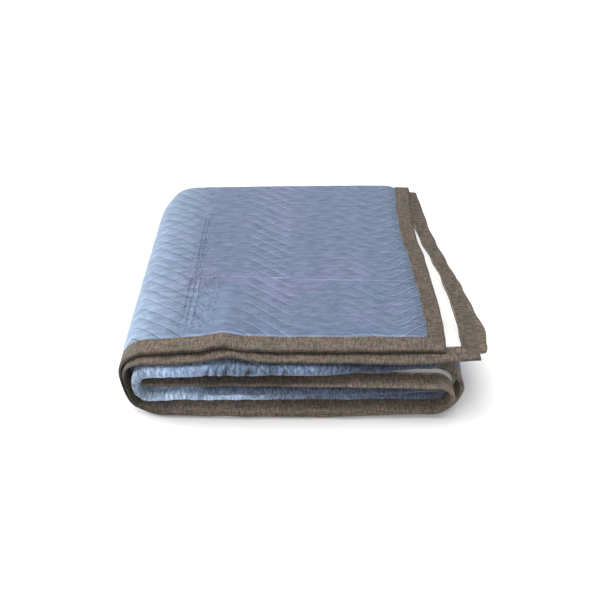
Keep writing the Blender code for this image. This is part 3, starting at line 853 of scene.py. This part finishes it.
class Paint:
    """Builds the nodes of one cloth material."""

    def __init__(self, name):
        self.material = bpy.data.materials.new(name)
        self.material.use_nodes = True
        self.tree = self.material.node_tree
        self.shader = self.tree.nodes["Principled BSDF"]

    def node(self, kind, settings=None, values=None, output=0):
        """Adds a node, with its settings first and then the values or links of its sockets."""
        made = self.tree.nodes.new(kind)
        for name, value in (settings or {}).items():
            setattr(made, name, value)
        for key, value in (values or {}).items():
            if isinstance(value, Wire):
                self.tree.links.new(value.socket, made.inputs[key])
            else:
                made.inputs[key].default_value = value
        return Wire(self, made.outputs[output])

    def call(self, operation, value, other=0.0):
        """One function of a number, such as its sine."""
        return self.node("ShaderNodeMath", {"operation": operation}, {0: value, 1: other})

    def lengths(self):
        """The two lengths along the cloth, in metres."""
        both = self.node("ShaderNodeUVMap", {"uv_map": "Cloth"})
        split = self.node("ShaderNodeSeparateXYZ", None, {0: both})
        return both, split, Wire(self, split.socket.node.outputs[1])

    def tones(self):
        """The three values that the blue cloth carries at its points."""
        carried = self.node("ShaderNodeAttribute", {"attribute_name": "Tones"}, output=1)
        split = self.node("ShaderNodeSeparateXYZ", None, {0: carried})
        outputs = split.socket.node.outputs
        return Wire(self, outputs[0]), Wire(self, outputs[1]), Wire(self, outputs[2])

    def stretched(self, vector, one, two):
        """The lengths with their own scales, for grain that is longer one way."""
        return self.node("ShaderNodeVectorMath", {"operation": "MULTIPLY"}, {0: vector, 1: (one, two, 1.0)})

    def noise(self, vector, scale, detail, roughness, stretch=None):
        """Smooth random values about 0.5."""
        if stretch:
            vector = self.stretched(vector, *stretch)
        values = {"Vector": vector, "Scale": scale, "Detail": detail, "Roughness": roughness}
        return self.node("ShaderNodeTexNoise", {"noise_dimensions": "2D"}, values)

    def step(self, value, low, high):
        """Smooth step of a value from 0 at low to 1 at high."""
        values = {"Value": value, "From Min": low, "From Max": high}
        return self.node("ShaderNodeMapRange", {"interpolation_type": "SMOOTHSTEP"}, values)

    def mix(self, share, one, two):
        """Mix of two colours."""
        return self.node("ShaderNodeMix", {"data_type": "RGBA"}, {0: share, 6: one, 7: two}, output=2)

    def shade(self, colour, amount):
        """A colour made lighter or darker by a number about 1."""
        return self.node("ShaderNodeVectorMath", {"operation": "SCALE"}, {0: colour, "Scale": amount})

    def finish(self, colour, roughness, height, sheen):
        """Links the colour, roughness and relief to the shader; the height is in millimetres."""
        self.tree.links.new(colour.socket, self.shader.inputs["Base Color"])
        self.tree.links.new(roughness.socket, self.shader.inputs["Roughness"])
        bump = self.node("ShaderNodeBump", None, {"Strength": 1.0, "Distance": 0.001, "Height": height})
        self.tree.links.new(bump.socket, self.shader.inputs["Normal"])
        self.shader.inputs["Metallic"].default_value = 0.0
        self.shader.inputs["Specular IOR Level"].default_value = 0.25
        self.shader.inputs["Sheen Weight"].default_value = sheen
        self.shader.inputs["Sheen Roughness"].default_value = 0.5
        return self.material


def opaque(colour, factor=1.0):
    """A colour with full alpha, made lighter or darker."""
    return tuple(min(1.0, part * factor) for part in colour) + (1.0,)


def weave(paint, along, across, pitch):
    """Height of a plain weave, from -1 to 1, with threads one pitch apart."""
    one = paint.call("SINE", along * (math.tau / pitch))
    two = paint.call("SINE", across * (math.tau / pitch))
    return one * two


def crack(paint, value, width):
    """1 where a value is close to 0, and 0 where it is more than a width from it."""
    return 1.0 - paint.step(paint.call("ABSOLUTE", value), 0.25 * width, width)


def window(paint, value, span):
    """1 where a length is in a named span, with soft ends outside it."""
    low, high, soft = SPANS[span]
    return paint.step(value, low - soft, low) * (1.0 - paint.step(value, high, high + soft))


def trough_lines(paint, both, along, across):
    """Painted shade and highlight of the trough at the left of the top: dark and pale fine lines, with its
    rumpled patch.

    The two long wrinkles lean a little, so their place along the cloth goes with the depth.
    """
    waver = (paint.noise(both, 62.0, 3.0, 0.6) - 0.5) * 0.016
    down = 0.415 - across
    first = along + waver - 0.4195 - down * 0.012
    second = along + waver * 0.6 - 0.4275 - down * 0.016
    length = window(paint, across, "trough_depth")
    beside = window(paint, along, "trough_sides") * window(paint, across, "trough_sides_depth")
    patch = window(paint, along, "rumpled_patch") * window(paint, across, "rumpled_patch_depth")
    wander = paint.noise(both, 88.0, 3.0, 0.6) - 0.5
    rumpled = 0.30 * beside + 0.55 * patch
    dark = length * (crack(paint, first, 0.0015) + crack(paint, second, 0.0012))
    dark = dark + crack(paint, wander, 0.060) * rumpled
    pale = length * (crack(paint, first - 0.0022, 0.0016) + 0.7 * crack(paint, second - 0.0020, 0.0014))
    return dark, pale + 0.8 * crack(paint, wander - 0.075, 0.055) * rumpled


def quilting_marks(paint, row_spacing, along, across, quilting):
    """Groove and crest beside each line of stitches, the swell between two lines, and nearness to one."""
    turn = paint.call("COSINE", (along - ZIGZAG_START) * (math.pi / ZIGZAG_HALF))
    rise = paint.call("ARCSINE", turn * ZIGZAG_SHARP) * (ZIGZAG_RISE / math.asin(ZIGZAG_SHARP))
    rows = (across + rise - QUILT_START) / row_spacing
    millimetres = ((rows + 0.5) % 1.0 - 0.5) * (row_spacing * 1000)
    near_line = (1.0 - paint.step(paint.call("ABSOLUTE", millimetres), 0.4, 3.6)) * quilting
    rounded = window(paint, along, "rounded_quilting")
    groove = crack(paint, millimetres + 0.9, 2.4) * quilting * (1.0 + 0.3 * rounded)
    crest = crack(paint, millimetres - 1.5, 1.8) * quilting * (1.0 - 0.5 * rounded)
    swell = paint.call("SINE", rows * math.tau) * quilting
    return groove, crest, swell, near_line


def pressed_marks(paint, along, across, patches, mottle):
    """Painted highlight on the ridge and painted shade in the groove of the fold that is pressed across the
    top, broken up here and there.
    """
    behind = across - 0.1645 - 0.048 * along + (patches - 0.5) * 0.004
    shown = window(paint, along, "pressed_line") * paint.step(mottle, 0.30, 0.55)
    width = 0.0014
    return crack(paint, behind, width) * shown, crack(paint, behind - 0.0022, width) * shown


def blue_cloth(settings, colours):
    """Blue woven face cloth: fine weave, gathered at the lines of stitches, faded and with painted light on
    the left bend, and with painted shade and highlight at its folds, creases and lines of stitches.
    """
    paint = Paint("quilted_blue_cloth")
    both, along, across = paint.lengths()
    quilting, fold, crease = paint.tones()
    groove, crest, swell, near_line = quilting_marks(paint, settings.row_spacing, along, across, quilting)
    patches = paint.noise(both, 9.0, 2.0, 0.55)
    mottle = paint.noise(both, 190.0, 3.0, 0.65)
    rumples = paint.noise(both, 80.0, 3.0, 0.6, (0.45, 1.5)) - 0.5
    specks = paint.noise(both, 330.0, 3.0, 0.70, (1.0, 0.55))
    threads = paint.noise(both, 420.0, 2.0, 0.6, (1.0, 6.0))
    gathers = paint.step(paint.noise(both, 230.0, 3.0, 0.65, (1.0, 0.32)), 0.38, 0.62) - 0.5
    gathered = window(paint, across, "front_fold")

    # paler on the left bend, where it has rubbed and where painted light stands for the lamp at the left;
    # painted shade deep in the front fold and its pleats
    bend = paint.step(along, 0.395, 0.56) * (1.0 - paint.step(along, 0.76, 1.02))
    far = window(paint, across, "towards_the_back")
    faded = bend * (0.70 + 0.5 * patches) * (1.0 - 0.8 * fold) * (1.0 - 0.35 * far)
    colour = paint.mix(paint.step(patches, 0.45, 0.75), opaque(colours.face), opaque(colours.face_shade))
    colour = paint.mix(faded, colour, opaque(colours.face_faded_and_lit))
    flecks_in_shade = paint.step(specks, 0.40, 0.58)
    valley = paint.step(crease, 0.55, 0.95)
    crown = 1.0 - paint.step(crease, 0.10, 0.45)
    pleats = 0.85 * valley * gathered * paint.step(fold, 0.01, 0.10)
    # painted shade of the front fold and of its pleats, broken up by flecks
    deep = paint.call("MAXIMUM", fold * (1.0 - flecks_in_shade * (1.0 - 0.80 * fold)), pleats)
    colour = paint.mix(deep, colour, opaque(colours.painted_fold_shade))

    # painted highlight and shade: pale and dark lines of the trough and of the pressed fold; a pale rim at
    # the front binding, a bright patch, and painted light on the left bend
    dark, pale = trough_lines(paint, both, along, across)
    pressed_ridge, pressed_groove = pressed_marks(paint, along, across, patches, mottle)
    rim = crack(paint, across - 0.0312, 0.0024) * window(paint, along, "pale_rim")
    bright = window(paint, along, "bright_patch") * window(paint, across, "bright_patch_depth")
    lit = window(paint, along, "lit_top_of_bend") + window(paint, along, "lit_foot_of_bend")
    lit = lit - 0.6 * window(paint, along, "dim_middle_of_bend")
    flecked = paint.step(specks, 0.40, 0.60) - 0.5
    # on the front fold: random gathers and flecks, and painted light on its blue, stronger where the bend
    # is lit
    fold_flecks_and_light = gathered * (1.0 - 0.5 * fold) * (0.30 + 0.80 * gathers + 0.60 * flecked + 0.62 * lit)
    # grain: random tone of the cloth, with painted shade in the grooves, valleys, dark trough lines and
    # pressed groove, and painted highlight on the crests, crowns, pale trough lines and pressed ridge; the
    # swell paints light on one side of each puff and shade on the other
    grain = (0.86 + 0.16 * mottle + 0.12 * threads + 0.95 * rumples - 0.22 * groove + 0.55 * crest
             + 0.055 * swell - 0.30 * valley + 0.40 * crown - 0.32 * dark + 0.30 * pale
             + 0.22 * bright + 0.60 * pressed_ridge - 0.22 * pressed_groove + 0.60 * rim + fold_flecks_and_light)
    colour = paint.shade(colour, grain)

    puckers = paint.noise(both, 330.0, 2.0, 0.5, (1.0, 0.35))
    height = (0.04 * weave(paint, along, across, 0.0011) + 0.80 * puckers * near_line
              - 0.70 * groove + 0.30 * mottle + 0.10 * threads + 1.6 * specks * fold
              + 3.0 * rumples - 0.6 * dark + 1.2 * gathers * gathered)
    return paint.finish(colour, 0.72 + 0.18 * mottle, height, sheen=0.20)


def white_cloth(colours):
    """White non-woven back cloth: matted fibres, a little soiled."""
    paint = Paint("white_back_cloth")
    both = paint.lengths()[0]
    fibres = paint.noise(both, 500.0, 4.0, 0.7, (1.0, 3.0))
    patches = paint.noise(both, 30.0, 2.0, 0.5)
    colour = paint.mix(paint.step(patches, 0.45, 0.80), opaque(colours.back), opaque(colours.back, 0.90))
    colour = paint.shade(colour, 0.93 + 0.12 * fibres)
    return paint.finish(colour, 0.80 + 0.12 * fibres, 0.30 * fibres + 0.20 * patches, sheen=0.1)


def binding_cloth(name, colours, lightness):
    """Taupe woven binding: flecked ribs across the strip, in brown, olive and rose, a paler hem, painted
    shade on its rounded edge and inside the left bend, and painted light on the lower strips.
    """
    paint = Paint(name)
    both, along, across = paint.lengths()
    speckle = paint.noise(both, 380.0, 3.0, 0.75)
    streaks = paint.noise(both, 300.0, 3.0, 0.65, (1.0, 0.25))
    cords_wide = paint.noise(both, 300.0, 2.0, 0.6, (0.16, 1.0))
    patches = paint.noise(both, 24.0, 3.0, 0.6)
    warm = paint.noise(both, 33.0, 3.0, 0.6, (1.0, 1.7))
    flecks = paint.noise(both, 170.0, 2.0, 0.6)
    ribs = paint.call("SINE", along * (math.tau / RIB_PITCH))
    cords = paint.call("SINE", across * (math.tau / CORD_PITCH))
    from_hem = paint.call("PINGPONG", across, BINDING_MIDDLE)
    hem = 1.0 - paint.step(from_hem, 0.0003, 0.0014)
    nose = paint.step(from_hem, 0.0275, 0.0318)
    olive = opaque(colours.binding_shade)
    rose = opaque(colours.binding_rose)
    colour = paint.mix(paint.step(patches, 0.42, 0.60), opaque(colours.binding), olive)
    colour = paint.mix(paint.step(warm, 0.50, 0.68) * 0.75, colour, rose)
    colour = paint.mix(paint.step(flecks, 0.55, 0.72) * 0.20, colour, rose)
    # paler along the hem, in patches
    colour = paint.mix(hem * paint.step(patches, 0.40, 0.65) * 0.5, colour, opaque(colours.binding_pale_hem))
    contrast = (0.34 * paint.step(speckle, 0.36, 0.64) + 0.42 * paint.step(streaks, 0.38, 0.62)
                + 0.24 * paint.step(cords_wide, 0.36, 0.64))
    # painted light on the strips low down at the front; painted shade inside the left bend and along the
    # rounded edge
    below = 1.0 + 0.60 * window(paint, along, "lower_binding")
    shaded = 1.0 - 0.60 * window(paint, along, "inside_of_left_bend")
    tone = lightness * (0.34 + 1.36 * contrast + 0.05 * ribs + 0.04 * cords) * (1.0 - 0.45 * nose)
    colour = paint.shade(colour, tone * below * shaded)
    height = 0.10 * ribs + 0.08 * cords + 0.45 * speckle + 0.70 * streaks + 0.25 * cords_wide
    return paint.finish(colour, 0.74 + 0.18 * speckle, height, sheen=0.10)


def thread_cloth(name, colour):
    """Twisted sewing thread, a little uneven in tone."""
    paint = Paint(name)
    where = paint.node("ShaderNodeTexCoord", None, None, output="Object")
    twist = paint.node("ShaderNodeTexNoise", {"noise_dimensions": "3D"}, {"Vector": where, "Scale": 900.0})
    shade = paint.shade(colour[:3], 0.85 + 0.30 * twist)
    return paint.finish(shade, 0.55 + 0.2 * twist, 0.08 * twist, sheen=0.1)


STITCH_NODES = {
    "source": "NodeGroupInput",
    "result": "NodeGroupOutput",
    "curve": "GeometryNodeMeshToCurve",
    "resample": "GeometryNodeResampleCurve",
    "tangent": "GeometryNodeInputTangent",
    "align": "FunctionNodeAlignRotationToVector",
    "ball": "GeometryNodeMeshUVSphere",
    "smooth": "GeometryNodeSetShadeSmooth",
    "size": "ShaderNodeCombineXYZ",
    "lowest": "ShaderNodeMath",
    "chance": "FunctionNodeRandomValue",
    "uneven": "ShaderNodeVectorMath",
    "copies": "GeometryNodeInstanceOnPoints",
    "real": "GeometryNodeRealizeInstances",
    "finish": "GeometryNodeSetMaterial",
}

# Which output of a node goes to which input of another
STITCH_LINKS = [
    ("source", "Line", "curve", 0),
    ("curve", 0, "resample", "Curve"),
    ("source", "Stitch Pitch", "resample", "Length"),
    ("tangent", 0, "align", "Vector"),
    ("source", "Stitch Length", "size", 0),
    ("source", "Thread Width", "size", 1),
    ("source", "Thread Width", "size", 2),
    ("source", "Unevenness", "lowest", 1),
    ("lowest", 0, "chance", 2),
    ("size", 0, "uneven", 0),
    ("chance", 1, "uneven", "Scale"),
    ("resample", 0, "copies", "Points"),
    ("ball", "Mesh", "smooth", 0),
    ("smooth", 0, "copies", "Instance"),
    ("align", 0, "copies", "Rotation"),
    ("uneven", 0, "copies", "Scale"),
    ("copies", 0, "real", 0),
    ("real", 0, "finish", "Geometry"),
    ("finish", 0, "result", "Stitches"),
]

STITCH_INPUTS = {"Stitch Pitch": 0.005, "Stitch Length": 0.004, "Thread Width": 0.0007, "Unevenness": 0.2}
STITCH_UNEVENNESS = 0.25
STITCH_SEED = 7


def stitch_tree(material):
    """Node group that lays one thread stitch after another along a line."""
    group = bpy.data.node_groups.new("stitches_along_a_line", "GeometryNodeTree")
    group.interface.new_socket(name="Line", in_out="INPUT", socket_type="NodeSocketGeometry")
    identifiers = {}
    for name, value in STITCH_INPUTS.items():
        socket = group.interface.new_socket(name=name, in_out="INPUT", socket_type="NodeSocketFloat")
        socket.default_value = value
        identifiers[name] = socket.identifier
    group.interface.new_socket(name="Stitches", in_out="OUTPUT", socket_type="NodeSocketGeometry")
    made = {name: group.nodes.new(kind) for name, kind in STITCH_NODES.items()}
    made["resample"].mode = "LENGTH"
    made["align"].axis = "X"
    made["ball"].inputs["Segments"].default_value = 5
    made["ball"].inputs["Rings"].default_value = 3
    made["ball"].inputs["Radius"].default_value = 0.5
    made["chance"].data_type = "FLOAT"
    made["chance"].inputs["Seed"].default_value = STITCH_SEED
    made["lowest"].operation = "SUBTRACT"
    made["lowest"].inputs[0].default_value = 1.0
    made["uneven"].operation = "SCALE"
    made["finish"].inputs["Material"].default_value = material
    for giver, output, taker, value in STITCH_LINKS:
        group.links.new(made[giver].outputs[output], made[taker].inputs[value])
    return group, identifiers


def sew(name, lines, material, thread_width, pitch, length):
    """Stitches along lines of points, made a plain mesh."""
    points = np.concatenate(lines)
    edges = []
    number = 0
    for line in lines:
        edges.extend((number + k, number + k + 1) for k in range(len(line) - 1))
        number += len(line)
    mesh = bpy.data.meshes.new(name + "_path")
    mesh.from_pydata(points.tolist(), edges, [])
    path = bpy.data.objects.new(name + "_path", mesh)
    bpy.context.scene.collection.objects.link(path)
    group, identifiers = stitch_tree(material)
    modifier = path.modifiers.new("Stitches", "NODES")
    modifier.node_group = group
    modifier[identifiers["Stitch Pitch"]] = pitch
    modifier[identifiers["Stitch Length"]] = length
    modifier[identifiers["Thread Width"]] = thread_width
    modifier[identifiers["Unevenness"]] = STITCH_UNEVENNESS
    shown = path.evaluated_get(bpy.context.evaluated_depsgraph_get())
    made = bpy.data.meshes.new_from_object(shown)
    made.name = name
    if not made.polygons:
        raise RuntimeError(f"{name} has no stitches")
    bpy.data.objects.remove(path, do_unlink=True)
    thing = bpy.data.objects.new(name, made)
    bpy.context.scene.collection.objects.link(thing)
    return thing


def quilting_lines(settings):
    """Lines of points along the quilting of the outer layer, where it shows."""
    lines = []
    stretches = ((EDGE_SLOPE + 0.002, U_FLOOR - 0.035), (U_RIGHT + 0.010, U_MIDDLE - 0.010))
    rows = int((V_BACK + BACK_BEND + 2 * ZIGZAG_RISE) / settings.row_spacing) + 1
    for start, stop in stretches:
        u = np.array(run(start, stop, 0.004) + [stop])
        for row in range(-1, rows):
            v = QUILT_START + row * settings.row_spacing + zigzag(u)
            v = v + wobble(u, v)
            shown = (v > EDGE_BAND + 0.004) & (v < V_BACK + 0.7 * BACK_BEND)
            for part in np.split(np.arange(len(u)), np.flatnonzero(np.diff(shown.astype(int))) + 1):
                if shown[part[0]] and len(part) > 2:
                    height = face_height(u[part], v[part], settings) + 0.15 * settings.thread_width
                    lines.append(place(u[part], v[part], height))
    return lines


def seam_lines(row):
    """Lines of points along the two sides of one binding's seam."""
    top = EDGE_TOP + GAP + BINDING_THICKNESS
    base = EDGE_BOTTOM - GAP - BACK_THICKNESS - GAP - BINDING_THICKNESS
    along = np.array(run(SEAM_AT, row["total"] - SEAM_AT, 0.003))
    distance = np.full_like(along, SEAM_AT)
    sunk = float(hem_swell(SEAM_AT))
    lines = []
    for height, side in ((top + sunk, 1.0), (base - sunk, -1.0)):
        bump = binding_pucker(along, distance, side)
        lines.append(row["spot"](along, distance, height + bump + 0.0001 * side, row["other"]))
    return lines


class BlanketSizes(bpy.types.PropertyGroup):
    row_spacing: bpy.props.FloatProperty(
        name="Row Spacing", description="From one line of quilting to the next",
        default=0.025, min=0.01, max=0.1, unit="LENGTH")
    puff_height: bpy.props.FloatProperty(
        name="Puff Height", description="Height of the cloth between two lines of quilting",
        default=0.0016, min=0.0, max=0.004, unit="LENGTH")
    thread_width: bpy.props.FloatProperty(
        name="Thread Width", description="Width of the sewing thread",
        default=0.0006, min=0.0002, max=0.002, unit="LENGTH")
    quilt_stitch: bpy.props.FloatProperty(
        name="Quilting Stitch", description="From one stitch of the quilting to the next",
        default=0.0046, min=0.002, max=0.02, unit="LENGTH")
    binding_stitch: bpy.props.FloatProperty(
        name="Binding Stitch", description="From one stitch of the binding to the next",
        default=0.0056, min=0.002, max=0.02, unit="LENGTH")


class BlanketColours(bpy.types.PropertyGroup):
    face: bpy.props.FloatVectorProperty(
        name="Face", description="Blue of the quilted face",
        default=(0.117, 0.160, 0.243), min=0.0, max=1.0, subtype="COLOR")
    face_shade: bpy.props.FloatVectorProperty(
        name="Face, Violet Patches", description="Blue of the warmer patches of the face",
        default=(0.142, 0.162, 0.262), min=0.0, max=1.0, subtype="COLOR")
    # painted shade: the dark blue of the shade deep between the layers at the front fold
    painted_fold_shade: bpy.props.FloatVectorProperty(
        name="Face, Deep Fold", description="Dark blue deep between the layers at the front fold",
        default=(0.014, 0.019, 0.043), min=0.0, max=1.0, subtype="COLOR")
    # paler blue of the left bend: partly rubbed, partly painted light from the lamp at the left
    face_faded_and_lit: bpy.props.FloatVectorProperty(
        name="Face, Faded", description="Paler blue where the folds have rubbed",
        default=(0.275, 0.365, 0.495), min=0.0, max=1.0, subtype="COLOR")
    thread: bpy.props.FloatVectorProperty(
        name="Quilting Thread", description="Blue of the thread that the face is quilted with",
        default=(0.165, 0.225, 0.330), min=0.0, max=1.0, subtype="COLOR")
    back: bpy.props.FloatVectorProperty(
        name="Back", description="White of the back cloth",
        default=(0.86, 0.84, 0.82), min=0.0, max=1.0, subtype="COLOR")
    binding: bpy.props.FloatVectorProperty(
        name="Binding", description="Taupe of the woven binding",
        default=(0.122, 0.096, 0.078), min=0.0, max=1.0, subtype="COLOR")
    binding_shade: bpy.props.FloatVectorProperty(
        name="Binding, Olive Patches", description="Greener taupe of the binding's patches",
        default=(0.104, 0.091, 0.068), min=0.0, max=1.0, subtype="COLOR")
    binding_rose: bpy.props.FloatVectorProperty(
        name="Binding, Rose Flecks", description="Redder flecks of the binding",
        default=(0.146, 0.104, 0.084), min=0.0, max=1.0, subtype="COLOR")
    binding_pale_hem: bpy.props.FloatVectorProperty(
        name="Binding, Pale Hem", description="Paler colour of the binding's hem",
        default=(0.42, 0.39, 0.34), min=0.0, max=1.0, subtype="COLOR")


class StudioLight(bpy.types.PropertyGroup):
    key_power: bpy.props.FloatProperty(
        name="Key Light", description="Power of the soft light at the left",
        default=36.0, min=0.0, unit="POWER")
    fill_power: bpy.props.FloatProperty(
        name="Fill Light", description="Power of the weak soft light at the front",
        default=8.0, min=0.0, unit="POWER")
    overhead: bpy.props.FloatProperty(
        name="Overhead", description="Strength of the soft light from above",
        default=2.2, min=0.0)
    surround: bpy.props.FloatProperty(
        name="Surround", description="Strength of the white light from all round",
        default=0.50, min=0.0)


# Steps of the columns of a surface that doesn't show
HIDDEN_STEPS = (0.040, 0.010, 0.060, 0.060)


def dress(thing, node=None):
    """Fixes a piece to the blanket's body and hides the solid that it stands for, if one is given."""
    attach(thing, "root")
    if node:
        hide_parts(node)


class BLANKET_OT_quilted_face(bpy.types.Operator):
    """Make the blue face with its filling, quilted in zigzag rows"""
    bl_idname = "blanket.quilted_face"
    bl_label = "Quilted Face"

    def execute(self, context):
        sizes = context.scene.blanket_sizes
        upper = (fine_columns(0.0024, 0.0033, 0.0040, 0.0040), quilted_rows,
                 lambda u, v: face_height(u, v, sizes))
        lower = (fine_columns(*HIDDEN_STEPS), plain_rows,
                 lambda u, v: level(u, v, EDGE_BOTTOM, FACE_BOTTOM))
        cloth = blue_cloth(sizes, context.scene.blanket_colours)
        thing = sheet("quilted_face", cloth, upper, lower, tones_of=face_tones)
        dress(thing, "face_panel")
        return {"FINISHED"}


class BLANKET_OT_back_cloth(bpy.types.Operator):
    """Make the white back cloth under the filling"""
    bl_idname = "blanket.back_cloth"
    bl_label = "Back Cloth"

    def execute(self, context):
        sizes = context.scene.blanket_sizes
        seen = [k * 0.003 for k in range(38)]
        later = [u for u in fine_columns(0.5, 0.008, 0.012, 0.012) if u >= TROUGH_END]
        columns = sorted(set(seen + run(0.114, U_LEFT, 0.012) + later + [EDGE_BAND, EDGE_SLOPE]))
        inner_side = (fine_columns(*HIDDEN_STEPS), plain_rows,
                      lambda u, v: level(u, v, EDGE_BOTTOM - GAP, FACE_BOTTOM - GAP))
        outer_side = (columns, back_rows, lambda u, v: back_height(u, v, sizes))
        thing = sheet("back_cloth", white_cloth(context.scene.blanket_colours), inner_side, outer_side)
        dress(thing, "back_panel")
        return {"FINISHED"}


class BLANKET_OT_bindings(bpy.types.Operator):
    """Make the four binding strips round the edges"""
    bl_idname = "blanket.bindings"
    bl_label = "Bindings"

    def execute(self, context):
        colours = context.scene.blanket_colours
        # the side strips take a darker copy of the same cloth: painted shade
        cloths = {
            front_spot: binding_cloth("front_binding_cloth", colours, 1.02),
            side_spot: binding_cloth("side_binding_cloth", colours, 0.84),
        }
        for row in BINDINGS:
            thing = strip("binding_" + row["name"] + "_cloth", cloths[row["spot"]], row)
            if row["mirrored"]:
                thing.data.flip_normals()
            dress(thing, "binding_" + row["name"])
        return {"FINISHED"}


class BLANKET_OT_stitching(bpy.types.Operator):
    """Sew the lines of quilting and the seams of the bindings"""
    bl_idname = "blanket.stitching"
    bl_label = "Stitching"

    def execute(self, context):
        sizes = context.scene.blanket_sizes
        colours = context.scene.blanket_colours
        blue = thread_cloth("blue_thread", opaque(colours.thread))
        dark = thread_cloth("taupe_thread", opaque(colours.binding, 0.60))
        quilting = sew("quilting_stitches", quilting_lines(sizes), blue, sizes.thread_width,
                       sizes.quilt_stitch, 0.80 * sizes.quilt_stitch)
        dress(quilting)
        for row in BINDINGS:
            seam = sew("seam_" + row["name"], seam_lines(row), dark, sizes.thread_width,
                       sizes.binding_stitch, 0.78 * sizes.binding_stitch)
            dress(seam)
        return {"FINISHED"}


class BLANKET_OT_studio(bpy.types.Operator):
    """Make the pale floor, the soft light and the camera"""
    bl_idname = "blanket.studio"
    bl_label = "Studio"

    def execute(self, context):
        light = context.scene.studio_light
        bpy.ops.mesh.primitive_plane_add(size=FLOOR_SIZE, location=(0.0, 0.0, 0.0))
        floor = context.object
        floor.name = "floor"
        paint = Paint("pale_floor")
        paint.shader.inputs["Base Color"].default_value = FLOOR_COLOUR
        paint.shader.inputs["Roughness"].default_value = 0.9
        paint.shader.inputs["Specular IOR Level"].default_value = 0.1
        floor.data.materials.append(paint.material)
        world = bpy.data.worlds.new("white_surround")
        context.scene.world = world
        world.use_nodes = True
        backdrop = world.node_tree.nodes["Background"]
        backdrop.inputs["Color"].default_value = (1.0, 1.0, 1.0, 1.0)
        backdrop.inputs["Strength"].default_value = light.surround
        for row in LIGHTS:
            lamp_data = bpy.data.lights.new(row["name"], row["kind"])
            lamp_data.energy = getattr(light, row["strength"])
            if row["kind"] == "AREA":
                lamp_data.size = LAMP_SIZE
            else:
                lamp_data.angle = OVERHEAD_ANGLE
            lamp = bpy.data.objects.new(row["name"], lamp_data)
            lamp.location = row["at"]
            aim = -lamp.location.normalized()
            lamp.rotation_euler = aim.to_track_quat("-Z", "Y").to_euler()
            context.scene.collection.objects.link(lamp)
        lens = bpy.data.cameras.new("camera")
        lens.lens = FOCAL_LENGTH
        lens.sensor_width = SENSOR_WIDTH
        lens.clip_start = 0.01
        camera = bpy.data.objects.new("camera", lens)
        camera.location = CAMERA_PLACE
        camera.rotation_euler = (CAMERA_TILT, 0.0, 0.0)
        context.scene.collection.objects.link(camera)
        context.scene.camera = camera
        context.scene.view_settings.view_transform = "Standard"
        return {"FINISHED"}


class BLANKET_PT_pieces(bpy.types.Panel):
    """Lists the pieces of the blanket"""
    bl_idname = "BLANKET_PT_pieces"
    bl_label = "Folded Moving Blanket"
    bl_space_type = "VIEW_3D"
    bl_region_type = "UI"
    bl_category = "Blanket"

    def draw(self, context):
        for piece in OPERATORS:
            self.layout.operator(piece.bl_idname)
        scene = context.scene
        for group in (scene.blanket_sizes, scene.blanket_colours, scene.studio_light):
            box = self.layout.box()
            for name in group.__annotations__:
                box.prop(group, name)


GROUPS = (BlanketSizes, BlanketColours, StudioLight)
OPERATORS = (BLANKET_OT_quilted_face, BLANKET_OT_back_cloth, BLANKET_OT_bindings, BLANKET_OT_stitching,
             BLANKET_OT_studio)


def register():
    for item in GROUPS + OPERATORS + (BLANKET_PT_pieces,):
        bpy.utils.register_class(item)
    bpy.types.Scene.blanket_sizes = bpy.props.PointerProperty(type=BlanketSizes)
    bpy.types.Scene.blanket_colours = bpy.props.PointerProperty(type=BlanketColours)
    bpy.types.Scene.studio_light = bpy.props.PointerProperty(type=StudioLight)


def unregister():
    del bpy.types.Scene.studio_light
    del bpy.types.Scene.blanket_colours
    del bpy.types.Scene.blanket_sizes
    for item in reversed(GROUPS + OPERATORS + (BLANKET_PT_pieces,)):
        bpy.utils.unregister_class(item)


def main():
    register()
    bpy.ops.blanket.studio()
    bpy.ops.blanket.quilted_face()
    bpy.ops.blanket.back_cloth()
    bpy.ops.blanket.bindings()
    bpy.ops.blanket.stitching()


if __name__ == "__main__":
    main()
